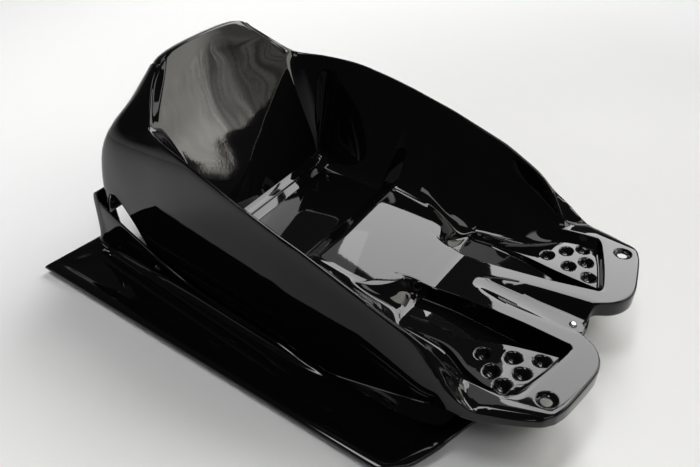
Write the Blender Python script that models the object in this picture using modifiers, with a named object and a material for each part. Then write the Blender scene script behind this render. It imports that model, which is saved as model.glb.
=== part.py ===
# Baby sled: a thermoformed seat shell fixed on a wide running base by blind rivets.
# The front of the sled faces -Y, up is +Z and the rider's left is +X. The drawing is in
# millimetres, its heights counted from the lip of the base and its lengths from the nose,
# and the model is in metres with its origin on the ground under the middle of the sled.
# Both mouldings are lofted on one half, mirrored and then given their sheet.

import math

import bmesh
import bpy
import numpy as np
from mathutils import Matrix, Vector

MM = 0.001
GROUND = 15.1            # the lip of the base stands this high over the snow
MIDDLE = 352.02          # the middle of the length, counted from the nose
SHEET = 3.0              # thickness of both formed sheets
FIT = 0.3                # play between pieces that touch

# seat shell
DECK_FRONT = 73.0        # front deck at the nose
DECK_FALL = 0.105        # its fall towards the rear, per mm
PAD_DROP = 10.6          # the foot pads lie this far under the deck
PAD_GROOVE = 9.0         # and the groove round them this far under the pads
WELL_FLOOR = 38.0
WELL_DEEP = 33.0         # the wells are deepest along the foot of the divider
NOTCH_FLOOR = 50.5       # floor of the slot between the prongs at the nose
NOTCH_RISE = 0.05        # its rise towards the rear, per mm
SEAT_FLOOR = 60.0
RAMP = (195.0, 349.0)    # the ramp between the legs begins and ends here
RAMP_RISE = 0.14         # its rise towards the rear, per mm
SEAT_STEP = 2.6          # the strip in front of the backrest starts this much lower
BACK_STEP = 504.8        # low step between that strip and the next one
BACK_FOOT = 518.5        # where the backrest rises from the second strip
BACK_LEAN = 0.45         # backward travel of the backrest for each mm of height
BACK_SCOOP = 5.0         # hollow of the backrest
BACK_SIDE = (587.0, 228.0)   # y and z where its slanted edges begin
RIM_HALF = 4.0           # half the width of the bead along the rim
RIM_FALL = 2.0           # how far the edges of the bead lie under its crest
SHELL_REAR = 708.5
SKIRT_BOTTOM = 52.0      # lower edge of the rear wall and of the prongs

# base
PAN_FLOOR = -7.0         # floor of the wings
LIP_DOWN = -5.0          # lower edge of the turned down lip
RUNNER_DEEP = 5.0        # depth of the runner groove in the floor
OPENING_Y = 325.0        # front edge of the opening under the seat
OPENING_X = 165.0        # half its width
POST_TOP = 95.0          # top of the corner posts behind the seat
POST_DEEP = 12.0
REAR_EDGE = (733.0, 745.0)   # rear edge beside the post and at the wing tip
EDGE_ON_FLOOR = PAN_FLOOR + FIT
PLATFORM = WELL_DEEP - SHEET - FIT

# round details
DIMPLES = [(112, 89), (101, 55), (89, 23), (133, 69), (120, 36), (148, 49)]
DIMPLE_R = 10.0
DIMPLE_FOOT_R = 7.0
DIMPLE_DEEP = 8.0
ROPE_HOLE = (150.0, -4.0)
ROPE_HOLE_R = 6.8
ROPE_RING_R = 12.0
ROPE_RECESS = 2.2
BOSS_WALL = 2.4
RIVET_R = 2.4
RIVET_HEAD_R = 5.5
RIVET_HEAD_H = 2.6
NOSE_RIVET_Y = 12.0
SIDE_RIVET = (585.0, 9.0)    # y, z
REAR_RIVET = (173.0, 72.0)   # x, z


def along(keys, value):
    """Piecewise straight curve through the given (position, amount) pairs."""
    return float(np.interp(value, [k[0] for k in keys], [k[1] for k in keys]))


# start from an empty file
for old in list(bpy.data.objects):
    bpy.data.objects.remove(old, do_unlink=True)
for old in list(bpy.data.collections):
    bpy.data.collections.remove(old)

PARTS = bpy.data.collections.new("baby_sled")
CUTTERS = bpy.data.collections.new("cutters")
bpy.context.scene.collection.children.link(PARTS)
bpy.context.scene.collection.children.link(CUTTERS)
bpy.context.scene.unit_settings.system = "METRIC"


def material(name, colour, roughness, metallic=0.0):
    mat = bpy.data.materials.new(name)
    mat.use_nodes = True
    shader = mat.node_tree.nodes["Principled BSDF"]
    shader.inputs["Base Color"].default_value = (*colour, 1.0)
    shader.inputs["Roughness"].default_value = roughness
    shader.inputs["Metallic"].default_value = metallic
    return mat


def add_object(name, bm, mat=None):
    """A part with its material, or a cutter without one."""
    mesh = bpy.data.meshes.new(name)
    bm.to_mesh(mesh)
    bm.free()
    mesh.shade_smooth()
    mesh.set_sharp_from_angle(angle=math.radians(35))
    obj = bpy.data.objects.new(name, mesh)
    if mat:
        mesh.materials.append(mat)
        PARTS.objects.link(obj)
    else:
        CUTTERS.objects.link(obj)
        obj.hide_render = True
        obj.display_type = "WIRE"
    return obj


def place(point):
    """Drawing millimetres to metres, with the origin on the ground under the middle."""
    return Vector((point[0] * MM, (point[1] - MIDDLE) * MM, (point[2] + GROUND) * MM))


# seat shell: feature lines
FRONT_LINE = [(0, 1), (16, 1), (30, -1), (38, -17), (47, -28), (62, -37), (77, -40),
              (97, -37.5), (129, -31), (150, -26.5), (165, -20), (176, -10.5)]
WELL_FRONT = [(0, 14), (29, 12), (50, 4), (60, -2), (68, -2), (94, 4), (125, 14),
              (162, 29), (170, 36), (190, 44), (205, 48)]
DIVIDER_X = [(0, 56), (45, 49), (100, 45), (150, 42), (185, 42.6), (222, 47), (240, 51)]
NOTCH_FLOOR_X = [(0, 15.5), (80, 13.5), (110, 11.5), (147, 7.5), (185, 9), (222, 12), (300, 20)]
NOTCH_TOP_X = [(0, 32), (40, 29), (75, 26.5), (98, 24), (120, 20.5), (143, 13.5), (150, 10.5),
               (185, 21), (222, 28), (300, 42)]
NOTCH_HOLLOW = [(0, 0), (20, 0), (60, 1.3), (110, 1.0), (148, 0)]   # its floor is this much lower in the middle
PAD_IN_X = [(30, 74), (43, 76), (60, 81), (79, 86), (97, 91), (115, 96), (130, 98), (205, 98)]
PAD_OUT_X = [(30, 150), (45, 160), (60, 159), (77, 153), (99, 143), (119, 128), (137, 119.5),
             (160, 118), (205, 117)]
BORDER_X = [(40, 170), (60, 170.5), (88, 169), (101, 166), (131, 157), (166, 150), (211, 142),
            (247, 135), (301, 122)]
BORDER_Z = [(105, 62), (131, 60), (166, 63), (211, 66), (247, 69), (301, 75)]
DECK_OUT_X = [(-10, 176), (8, 187), (35, 194.5), (46, 198), (60, 202.5), (75, 197), (88, 184)]
RIM_X = [(46, 195.5), (60, 199), (75, 190), (88, 181.5), (97, 183), (106, 185.8), (120, 190.8),
         (135, 194.8), (150, 197), (180, 200.5), (210, 202.5), (254, 202), (330, 201), (390, 198), (450, 193),
         (480, 187), (510, 181), (540, 174), (570, 165), (587, 160)]
RIM_Z = [(75, 66), (88, 66), (97, 76.5), (106, 89), (120, 107.5), (135, 120), (150, 130), (180, 143), (210, 156),
         (240, 166), (270, 175), (300, 185), (330, 192), (360, 200), (390, 208), (420, 215),
         (450, 222), (480, 226), (510, 228), (540, 229), (570, 228.5), (587, 228)]
CREST_Y = [(0, 236), (50, 236), (57, 238), (70, 243), (88, 255), (100, 272), (112, 290),
           (122, 301), (205, 304)]
FOOT_Y = [(0, 221), (104, 221), (112, 234), (122, 250), (205, 258)]

# outer walls, by stations along the rim: crease under the rim, middle, low line and edge
STATIONS = [-10, 8, 35, 60, 75, 88, 97, 105, 120, 150, 180, 210, 254, 330, 390, 450, 510, 540,
            555, 564, 576, 587, 600, 615, 630, 646, 661]
WALL_CREASE = [(176.5, -11, 69), (188, 7.5, 67.5), (195.5, 35, 65), (203.5, 60, 61.5),
               (206, 75, 71), (207.5, 88, 82), (206.5, 97, 90), (205, 105, 97),
               (202.5, 120, 105), (203, 150, 118), (205, 180, 126), (206.5, 210, 131),
               (207, 254, 138), (206.5, 330, 156), (203, 390, 171), (199, 450, 188),
               (195, 514, 199), (192, 551, 205), (190, 572, 208), (188.5, 590, 211),
               (187, 610, 214), (186, 630, 217), (179, 652, 231), (163, 655, 241),
               (139, 654, 248.5), (112, 653, 270), (90, 650.5, 288)]
WALL_MIDDLE = [(177, -11.2, 66.5), (188.4, 7.5, 64), (196, 35, 61.5), (204.5, 60, 58.5),
               (208, 75, 65), (209.5, 88, 72), (209.5, 97, 76), (209, 105, 79), (207.5, 120, 80),
               (208, 150, 80), (208, 180, 80), (208, 210, 78), (208, 254, 74), (207, 330, 80),
               (204.5, 390, 88), (201, 450, 96), (197, 514, 102), (194, 560, 105),
               (192, 585, 106), (191, 606, 114), (189.5, 634, 140), (188, 660, 176),
               (185, 684, 165), (172, 686, 165), (150, 687, 165), (124, 687, 165),
               (101, 687, 165)]
WALL_LOW = [(177.3, -11.3, 63.5), (188.8, 7.5, 60.5), (196.5, 35, 58), (205.5, 60, 55),
            (208.5, 75, 58), (210, 88, 61), (211, 97, 62), (211, 105, 60), (211, 120, 54),
            (210.5, 150, 43), (209.5, 180, 32), (208, 210, 20), (208, 254, 4), (206.5, 330, 4),
            (203.5, 390, 4), (200, 450, 4), (196, 517, 4), (193, 570, 5), (191.5, 597, 5),
            (190, 608, 50), (189.3, 634, 99), (187.5, 667, 138), (185.5, 699, 90), (174, 705, 88),
            (152, 705, 88), (124, 705, 88), (101, 705, 88)]
WALL_EDGE = [(177.5, -11.5, 60), (189, 7.5, 57), (197, 35, 54), (206, 60, 49), (209, 75, 50),
             (210.5, 88, 50.5), (211, 97, 50.5), (211, 105, 48.5), (211, 120, 42.5),
             (210.5, 150, 31), (209.5, 180, 20), (208, 210, 8.5), (208, 254, EDGE_ON_FLOOR),
             (206, 330, EDGE_ON_FLOOR), (203, 390, EDGE_ON_FLOOR), (199.5, 450, EDGE_ON_FLOOR),
             (196, 518, EDGE_ON_FLOOR), (193, 572, EDGE_ON_FLOOR), (191.3, 601, EDGE_ON_FLOOR),
             (190, 614, 36), (189.5, 641, 85), (188, 674, 123), (185.5, 703, SKIRT_BOTTOM + 3),
             (175, SHELL_REAR, SKIRT_BOTTOM), (152, SHELL_REAR, SKIRT_BOTTOM),
             (124, SHELL_REAR, SKIRT_BOTTOM), (101, SHELL_REAR, SKIRT_BOTTOM)]
# the slanted and the top part of the rim: crest of the bead
SLANT_STATIONS = [587, 600, 615, 630, 646, 661]
SLANT = [(159, 586.5, 229.5), (147, 596.5, 240.5), (132, 607.5, 255), (117, 617, 270),
         (104, 622, 281), (95.5, 623, 290)]
ARCH_Z = [(0, 306), (25, 305.6), (50, 304), (66, 302), (78, 299), (86, 295.5), (92, 291.5)]

# height of each row up the backrest and its position along the rim
BACK_LEVELS = [(64, 512), (68, 521), (95, 531), (125, 542), (155, 555), (185, 564), (210, 576),
               (226, 587), (238, 600), (252, 615), (265, 630), (275, 646)]
COLUMNS = 19             # points of one row from the middle to the outer edge of the rim
DECK_ROUND = {14: 0.2, 15: 0.6, 16: 1.2, 17: 2.2, 18: 4.0}   # drop of the last points of a deck row
SEAT_COLUMNS_X = [0, 20, 42, 52, 60, 68, 76, 84, 92, 100, 108, 116, 123]
RAMP_COLUMNS_X = [0, 20, 42, 54, 64, 74, 83, 91, 98, 104, 108.5, 113, 122]


def deck(y):
    return DECK_FRONT - DECK_FALL * y


def pad_level(y):
    """The pads lean a little more to the rear than the deck."""
    return deck(y) - PAD_DROP - along([(30, -1.0), (110, 1.6)], y)


def notch_floor(y):
    return NOTCH_FLOOR + NOTCH_RISE * y


def ramp(y):
    """The plane that rises from the divider to the front edge of the seat."""
    return deck(RAMP[0]) + RAMP_RISE * (y - RAMP[0])


def back_plane(z):
    return BACK_SIDE[0] + BACK_LEAN * (z - BACK_SIDE[1])


def blend(a, b, t):
    return a + (b - a) * t


def point_along(stations, points, q):
    """The point at a station between the listed ones."""
    return tuple(float(np.interp(q, stations, [p[axis] for p in points])) for axis in range(3))


def outer_wall(q):
    """The four points of the outer wall at a station of the rim."""
    return [point_along(STATIONS, line, q) for line in (WALL_CREASE, WALL_MIDDLE, WALL_LOW, WALL_EDGE)]


def front_rows():
    """Rows from the edge of the prongs to the front edge of the foot pads."""
    edge = [0, 16, 30, 38, 47, 62, 77, 90, 112, 134, 148, 156, 162, 165, 168, 170.5, 173, 174.5,
            175.5]
    border = [0, 15.5, 29.5, 52, 56, 60, 66, 72, 108, 150, 156, 163, 170, 176, 182, 187, 191,
              194, 196.5]
    rows = []
    for t in (0.0, 0.13, 0.55, 1.0):
        row = []
        for j in range(COLUMNS):
            x = blend(edge[j], border[j], t)
            y = blend(along(FRONT_LINE, edge[j]), along(WELL_FRONT, border[j]), t)
            z = deck(y)
            if j <= 1:
                z = notch_floor(y) + j * along(NOTCH_HOLLOW, y)
            row.append((x, y, z - DECK_ROUND.get(j, 0)))
        rows.append(row)
    # two steep rows down into the wells and the grooves round the pads
    for step, well_a, well_b, pad_drop, corner_drop, groove_drop in (
            (3.5, 50, 52, PAD_DROP + 3.9, 14.0, 11.0), (7.0, 44, 48, PAD_DROP, 16.5, 12.0)):
        row = []
        for j in range(COLUMNS):
            x = border[j]
            y = along(WELL_FRONT, x) + step * (0.4 if j < 5 or j > 11 else 1.0)
            z = deck(y)
            if j <= 1:
                z = notch_floor(y) + j * along(NOTCH_HOLLOW, y)
            elif j == 5:
                z = well_a
            elif j == 6:
                z = well_b
            elif 7 <= j <= 9:
                z -= pad_drop
            elif j == 10:
                z -= corner_drop
            elif j == 11:
                z -= groove_drop
            row.append((x, y, z - DECK_ROUND.get(j, 0)))
        rows.append(row)
    return rows


def well_row(y, end=0.0):
    """One straight row through the foot wells; end sinks the tip of the stalk."""
    divider = along(DIVIDER_X, y)
    pad_in = along(PAD_IN_X, y)
    pad_out = along(PAD_OUT_X, y)
    border = along(BORDER_X, y)
    xs = [0, along(NOTCH_FLOOR_X, y), along(NOTCH_TOP_X, y), divider - 4, divider, divider + 6,
          pad_in - 4, pad_in, 0.5 * (pad_in + pad_out), pad_out, pad_out + 4,
          0.5 * (pad_out + 4 + border), border]
    if end:
        xs[7], xs[9] = pad_in + 2.5 * end, pad_out - 2.5 * end
    notch_z = min(notch_floor(y), deck(y)) if y < 150 else deck(y)
    pad = pad_level(y)
    side = along(BORDER_Z, y) if y > 105 else deck(y)
    groove = along([(90, pad - PAD_GROOVE), (125, WELL_FLOOR + 1)], y)
    top = deck(y) if y < RAMP[0] else ramp(y)
    notch_side = notch_z + along(NOTCH_HOLLOW, y)
    zs = [notch_z, notch_side, top, top, top, WELL_DEEP,
          min(WELL_FLOOR + 3.5, pad - 1.5), pad, pad, pad, groove, blend(groove, side, 0.35), side]
    if y >= 150:
        zs[0] = zs[1] = top
    if end == 1.0:
        zs[7] = zs[8] = zs[9] = pad - 1.0
    if end > 1.0:
        zs[7] = zs[8] = zs[9] = WELL_FLOOR + 0.5
    return close_row([(x, y, z) for x, z in zip(xs, zs)], y)


def close_row(row, q, bulge=0.0):
    """Carry a row from the foot of the side wall up to the bead of the rim."""
    x0, y0, z0 = row[-1]
    if q >= 587:
        rim = np.array(point_along(SLANT_STATIONS, SLANT, q))
        turned = min((q - 570) / 30.0, 1.0)
        inner = rim + blend(np.array([-RIM_HALF, 0, -RIM_FALL]), np.array([-2.8, -1.4, -2.6]), turned)
        outer = rim + blend(np.array([RIM_HALF, 0, -RIM_FALL]), np.array([1.2, 3.8, -0.6]), turned)
    else:
        rim_z = along(RIM_Z, q) if q > 75 else deck(q) - DECK_ROUND[17]
        rim = np.array([along(RIM_X, q), q, rim_z])
        grown = min(max((q - 70) / 25.0, 0.0), 1.0)
        inner = rim + (-RIM_HALF, 0, -RIM_FALL * grown + (1 - grown))
        edge_x = along(DECK_OUT_X, q) if q < 88 else rim[0] + RIM_HALF
        outer = np.array([edge_x, q, rim_z - (RIM_FALL if q >= 75 else 1.7)])
    steep = along([(88, 0), (105, 1), (180, 1), (240, 0)], q)
    for share, lift, share_steep in ((0.22, 0.19, 0.45), (0.5, 0.46, 0.78), (0.77, 0.75, 0.94)):
        across = blend(share, share_steep, steep)
        x = blend(x0, inner[0], across)
        y = blend(y0, inner[1], across)
        z = blend(z0, inner[2], lift)
        row.append((x + bulge * 4 * share * (1 - share), y, z))
    row.extend([tuple(inner), tuple(rim), tuple(outer)])
    return row


def seat_rows():
    rows = []
    crest_x = [0, 12, 28, 46, 50, 57, 70, 82, 92, 100, 107, 114, 122]
    foot_x = [0, 12, 28, 44, 48, 55, 68, 80, 90, 98, 106, 113, 124]
    crest_z = [ramp(along(CREST_Y, x)) for x in crest_x[:11]] + [SEAT_FLOOR + 11, SEAT_FLOOR + 15]
    foot_z = [ramp(along(FOOT_Y, x)) for x in foot_x[:5]] + [WELL_DEEP + 1] + [WELL_FLOOR + 1] * 4
    foot_z += [WELL_FLOOR + 5, WELL_FLOOR + 12, SEAT_FLOOR + 6]
    for t, ease in ((0.0, 0.0), (0.5, 0.38), (1.0, 1.0)):
        row = []
        for a, b, low, high in zip(foot_x, crest_x, foot_z, crest_z):
            y = blend(along(FOOT_Y, a), along(CREST_Y, b), t)
            row.append((blend(a, b, t), y, blend(low, high, ease)))
        rows.append(close_row(row, along([(0, 258), (1, 288)], t)))
    fillet = [(9, 0.5), (10, 2.5), (11, 7.0), (12, 14.0)]
    for q, level in ((306, None), (330, None), (RAMP[1], None), (RAMP[1] + 3.5, ramp(RAMP[1]) - 1.0),
                     (374, SEAT_FLOOR + 1.0), (379, SEAT_FLOOR), (425, SEAT_FLOOR), (470, SEAT_FLOOR),
                     (488, SEAT_FLOOR), (490.5, SEAT_FLOOR - SEAT_STEP), (503.5, SEAT_FLOOR + 1.4)):
        row = []
        for j, x in enumerate(RAMP_COLUMNS_X if q <= RAMP[1] else SEAT_COLUMNS_X):
            y = q
            if q < 320:
                y = blend(along(CREST_Y, x) + 14, q, 0.45)
            z = ramp(y) if level is None else level
            for k, rise in fillet:
                if j == k:
                    z += rise
            row.append((x, y, z))
        side = along([(488, 492), (503.5, 507)], q) if q > 488 else q
        rows.append(close_row(row, side, bulge=2.0))
    return rows


def back_rows():
    rows = []
    edge = [(58, 126), (69, 130), (95, 132), (130, 133), (183, 134), (226, 139), (238, 135),
            (252, 122), (265, 110), (275, 99)]
    for z, q in BACK_LEVELS:
        row = []
        half = along(edge, z)
        for j, x in enumerate(SEAT_COLUMNS_X):
            share = x / SEAT_COLUMNS_X[-1]
            px = share * half
            scoop = BACK_SCOOP * math.sin(math.pi * min(max((z - 60) / 245.0, 0), 1))
            py = back_plane(z) + scoop * (1 - share ** 2)
            pz = z
            if z < 80 and j >= 10:
                pz += (2.0, 5.5, 11.0)[j - 10] * 0.9
            if z == 64:
                py = BACK_STEP
            if z == 68:
                py = BACK_FOOT
            row.append((px, py, pz))
        rows.append(close_row(row, q, bulge=1.5 if z < 220 else 0.0))
    top_x = [0, 14, 28, 35, 41, 47, 52, 57, 62, 67, 71, 75, 78.5, 81.5, 84.5, 87.5]
    corner = {
        16: ((92.0, 619.5, 285.5), (91.5, 622.8, 290.5), (90.0, 627.0, 290.5)),
        17: ((95.8, 621.0, 287.8), (94.2, 624.0, 291.0), (92.5, 628.0, 290.5)),
        18: ((98.5, 625.0, 287.6), (97.0, 626.8, 289.6), (95.0, 629.5, 289.2)),
    }
    for k, (drop, y) in enumerate(((4.0, 620.4), (0.0, 623.6), (1.0, 627.4))):
        row = [(x, y - 0.5 * (x / 90.0) ** 2, along(ARCH_Z, x) - drop) for x in top_x]
        row += [corner[j][k] for j in (16, 17, 18)]
        rows.append(row)
    return rows


def shell_grid():
    rows = front_rows()
    for y in (60, 75, 88, 97, 106, 120, 135, 150, 170, 190, 199):
        rows.append(well_row(y))
    rows.append(well_row(207, end=1.0))
    rows.append(well_row(211.5, end=2.0))
    rows += seat_rows()
    rows += back_rows()
    return rows


def shell_mesh():
    """Half of the visible skin of the seat shell, from the middle plane outwards."""
    rows = shell_grid()
    spots = [row[-1][1] for row in rows[:-len(BACK_LEVELS) - 3]]
    spots += [q for _, q in BACK_LEVELS] + [652, 657, 661]
    bm = bmesh.new()
    grid = [[bm.verts.new(place(p)) for p in row] for row in rows]
    for low, high in zip(grid[:-1], grid[1:]):
        for j in range(COLUMNS - 1):
            bm.faces.new((low[j], low[j + 1], high[j + 1], high[j]))
    # outer walls hang from the front edge, the rim of the side and the arch
    chain = []
    for j in range(COLUMNS - 1):
        x, y, z = rows[0][j]
        if j <= 1:
            outer = [(x, y - 0.8, z), (x, y - 1.6, z), (x, y - 2.4, z), (x, y - 3.2, z)]
        else:
            low = SKIRT_BOTTOM + along([(62, 0), (97, 2), (165, 7)], x)
            ahead = along([(30, 0.2), (50, 0.7), (90, 1.0)], x)
            side = along([(30, -0.6), (47, -0.6), (62, -0.3), (90, 0.0), (165, 0.3)], x)
            outer = [(x + side * s, y - ahead * s, blend(z, low, d))
                     for s, d in ((0.9, 0.16), (1.2, 0.42), (1.5, 0.7), (1.8, 1.0))]
        chain.append((grid[0][j], outer))
    for i, row in enumerate(rows[:-1]):
        chain.append((grid[i][-1], outer_wall(spots[i])))
    last = rows[-1]
    for j in range(COLUMNS - 1, -1, -1):
        x = last[j][0]
        if j == COLUMNS - 1:
            outer = outer_wall(661)
        else:
            wide = along([(0, 0), (71, 76), (92.5, 89)], x)
            outer = [(wide, along([(0, 648), (90, 650.5)], wide),
                      along([(0, 300), (40, 299), (66, 297), (80, 293.5), (90, 288)], wide)),
                     (wide, 687, 165), (wide, 705, 88), (wide, SHELL_REAR, SKIRT_BOTTOM)]
        chain.append((grid[-1][j], outer))
    strip = []
    for top, outer in chain:
        strip.append([top] + [bm.verts.new(place(p)) for p in outer])
    for one, two in zip(strip[:-1], strip[1:]):
        for k in range(len(one) - 1):
            bm.faces.new((one[k], one[k + 1], two[k + 1], two[k]))
    return bm


def solidify(obj, thin_group=None):
    """Mirror the half across the middle plane and give it its sheet, inwards."""
    mirror = obj.modifiers.new("both sides", "MIRROR")
    mirror.merge_threshold = 0.00005
    sheet = obj.modifiers.new("sheet", "SOLIDIFY")
    sheet.thickness = SHEET * MM
    sheet.offset = -1.0
    sheet.use_even_offset = bool(thin_group)
    if thin_group:
        sheet.vertex_group = thin_group
        sheet.invert_vertex_group = True
        sheet.thickness_vertex_group = FOLDED_THIN


def boolean(obj, other, operation):
    cut = obj.modifiers.new(other.name, "BOOLEAN")
    cut.operation = operation
    cut.object = other


# base: feature lines
FOLDED_THIN = 0.5        # the folded collar beside the shell is this share of the sheet thick
COLLAR_REAR_TALL = (87, 82)      # inner and outer top of the collar where it meets the post
COLLAR_REAR_X = (189.0, 192.5, 195.0)   # its inner top, outer top and foot there
HUMP_RUN = 14.0          # length of the slope beside the platform under the pads
COLLAR_FOOT_X = [(254, 216.5), (297, 216), (391, 211), (494, 205), (607, 200), (726, 194)]
SHELL_EDGE_X = [(210, 208), (254, 208), (330, 206.2), (390, 203.2), (450, 199.8), (518, 196.4),
                (572, 193.3), (601, 191.8), (627, 190.6), (657, 189.6), (683, 187.6), (703, 187)]
COLLAR_TALL = [(254, 0), (300, 5), (330, 11), (391, 13), (500, 15), (560, 28), (600, 43), (619, 50),
               (642, 58), (664, 66), (690, 77), (709, 87)]
GROOVE_IN_X = [(140, 224), (300, 236), (411, 227), (522, 219), (642, 210), (725, 203)]
GROOVE_OUT_X = [(140, 230), (300, 240), (424, 231), (515, 226), (608, 220), (719, 212)]
LINE_X = [(140, 238), (300, 251), (412, 244), (502, 238), (594, 232), (687, 226)]
HUMP_FOOT_X = [(99, 196), (124, 201), (154, 207), (185, 205.5), (210, 203), (254, 199), (300, 190),
               (330, 178)]
HUMP_TOP = [(225, PLATFORM), (300, PAN_FLOOR)]
POST_FRONT = SHELL_REAR + FIT + 0.4
PAN_COLUMNS = 23
# front edge of the base and the line where its recess begins
UNDER_NOSE = NOTCH_FLOOR - SHEET - FIT
PAN_EDGE = [(0, -5, UNDER_NOSE - 0.2), (20, -5, UNDER_NOSE - 0.2), (56, 4, 39), (100, 20, 28),
            (140, 43, 20), (168, 57, 14.5), (188, 67.5, 10.5), (196, 70.5, 9), (200, 72, 8.3),
            (204, 73.5, 7.6), (208, 75, 7), (214, 77.5, 6), (217, 78.6, 5.5), (220, 79.6, 5),
            (223, 80.6, 4.6), (226, 81.6, 4.2), (230, 83.2, 3.6), (234, 85, 3.2), (262, 98, 0.5),
            (268, 104, 0), (281, 119, 0), (286, 125, -1.5), (286.5, 124.6, LIP_DOWN)]
PAN_INNER = [(0, 20, UNDER_NOSE + 0.9), (20, 20, UNDER_NOSE + 0.9), (46, 26, PLATFORM),
             (98, 43, 29), (136, 64, 28), (162, 80, 26)]
PAN_INNER += [(x, along([(194, 90), (201, 94.5), (228, 108)], x), PAN_FLOOR)
              for x in (194, 201, 204, 207, 210, 214, 216, 218, 220, 222, 225, 228)]
PAN_INNER += [(268, 127, PAN_FLOOR), (272, 125, 0), (286, 129, 0), (290, 133, -1.5),
              (290.5, 133, LIP_DOWN)]


def pan_front_rows():
    rows = []
    for t, sink in ((-0.01, 4.5), (0.0, 1.2), (0.12, 0.0), (0.78, 0.0), (1.0, 0.0)):
        row = []
        for j in range(PAN_COLUMNS):
            e, n = PAN_EDGE[j], PAN_INNER[j]
            z = blend(e[2], n[2], max(t, 0)) if j < 6 or t == 1.0 else e[2]
            if j < PAN_COLUMNS - 1:
                z -= sink
            row.append((blend(e[0], n[0], t), blend(e[1], n[1], t), z))
        rows.append(row)
    return rows


def pan_row(y):
    foot = along(COLLAR_FOOT_X, y)
    edge = along(SHELL_EDGE_X, y)
    hump_foot = along(HUMP_FOOT_X, y)
    top = along(HUMP_TOP, y)
    slope = HUMP_RUN * (top - PAN_FLOOR) / (PLATFORM - PAN_FLOOR)
    collar = PAN_FLOOR + along(COLLAR_TALL, y)
    deep = along([(300, 0), (350, RUNNER_DEEP)], y)
    groove_in, groove_out, line = (along(c, y) for c in (GROOVE_IN_X, GROOVE_OUT_X, LINE_X))
    middle = along([(20, UNDER_NOSE + 0.9), (150, PLATFORM)], y) if y < 225 else top
    xs = [0, 20, 44, 110, min(150 + 0.18 * max(y - 225, 0), OPENING_X), hump_foot - slope - 2,
          hump_foot, edge + 0.6, edge + 1.6, foot - 1.5, foot, groove_in,
          blend(groove_in, groove_out, 0.3), blend(groove_in, groove_out, 0.7), groove_out,
          line - 2.5, line, line + 2.5, 268, 272, 286, 290, 290.5]
    zs = [middle, middle, top, top, top, top, PAN_FLOOR, PAN_FLOOR, collar, collar - 0.5, PAN_FLOOR,
          PAN_FLOOR, PAN_FLOOR - deep, PAN_FLOOR - deep, PAN_FLOOR, PAN_FLOOR,
          PAN_FLOOR - 0.4 * deep, PAN_FLOOR, PAN_FLOOR, 0, 0, -1.2, LIP_DOWN]
    return [(x, y, z) for x, z in zip(xs, zs)]


def pan_rear_rows():
    """Rows behind the seat: corner posts inside, ramp and lip outside."""
    last = pan_row(690)
    rows = []
    for k in range(7):
        row = []
        for j, (x, _, z) in enumerate(last):
            rear = blend(*REAR_EDGE, (x - 185) / 104)
            ramp = blend(694, 715, (x - 200) / 68)
            lip = blend(720, 735, (x - 200) / 68)
            if j < 10:
                post_rear = POST_FRONT + POST_DEEP
                y = (POST_FRONT, POST_FRONT + 1.2, post_rear, post_rear + 6, rear - 2, rear,
                     rear + 0.5)[k]
                high = POST_TOP - (5 if j == 9 else 0)
                low = PAN_FLOOR
                if j >= 8:
                    low += COLLAR_REAR_TALL[j - 8]
                    x = COLLAR_REAR_X[j - 8]
                z = (low, high, high - 5, 0, 0, -1.2, LIP_DOWN)[k]
            elif j == 10:
                y = (707, 713, 721, 728, rear - 2, rear, rear + 0.5)[k]
                z = (PAN_FLOOR, -6, -2.5, 0, 0, -1.2, LIP_DOWN)[k]
                x = COLLAR_REAR_X[2]
            else:
                y = (ramp, blend(ramp, lip, 0.5), lip, lip + 3, rear - 2, rear, rear + 0.5)[k]
                z = (PAN_FLOOR, 0.5 * PAN_FLOOR, -0.4, 0, 0, -1.2, LIP_DOWN)[k]
                if j > 18 and k < 5:
                    z = (0, 0, -1.2, LIP_DOWN)[j - 19]
                if j == 22:
                    z = LIP_DOWN
            row.append((x, y, z))
        rows.append(row)
    return rows


def pan_mesh():
    rows = pan_front_rows()
    rows += [pan_row(y) for y in sorted((142, 165, 190, 212, 232, 254, 276, 300, OPENING_Y, 360, 391,
                                         430, 470, 510, 550, 585, 619, 642, 664, 690))]
    rows += pan_rear_rows()
    bm = bmesh.new()
    thin = bm.verts.layers.deform.new()
    grid = []
    for row in rows:
        line = []
        for j, point in enumerate(row):
            vert = bm.verts.new(place(point))
            if 7 <= j <= 10 and point[1] > 250:
                vert[thin][0] = 1.0
            line.append(vert)
        grid.append(line)
    for i, (low, high) in enumerate(zip(grid[:-1], grid[1:])):
        for j in range(PAN_COLUMNS - 1):
            if j < 4 and rows[i][j][1] > OPENING_Y - 1:
                continue
            bm.faces.new((low[j], low[j + 1], high[j + 1], high[j]))
    loose = [v for v in bm.verts if not v.link_faces]
    bmesh.ops.delete(bm, geom=loose, context="VERTS")
    return bm


def cone_cutters(name, specs, segments=20):
    """One cutter of several separate cones, each (bottom, top, bottom radius, top radius)."""
    bm = bmesh.new()
    for bottom, top, radius_bottom, radius_top in specs:
        low, high = place(bottom), place(top)
        turn = Vector((0, 0, 1)).rotation_difference(high - low).to_matrix().to_4x4()
        matrix = Matrix.Translation((low + high) / 2) @ turn
        bmesh.ops.create_cone(bm, cap_ends=True, segments=segments, radius1=radius_bottom * MM,
                              radius2=radius_top * MM, depth=(high - low).length, matrix=matrix)
    return add_object(name, bm)


DECK_UP = Vector((0, DECK_FALL, 1)).normalized()


def over(point, height):
    """A point this far over another, square to the deck."""
    return tuple(Vector(point) + DECK_UP * height)


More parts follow.
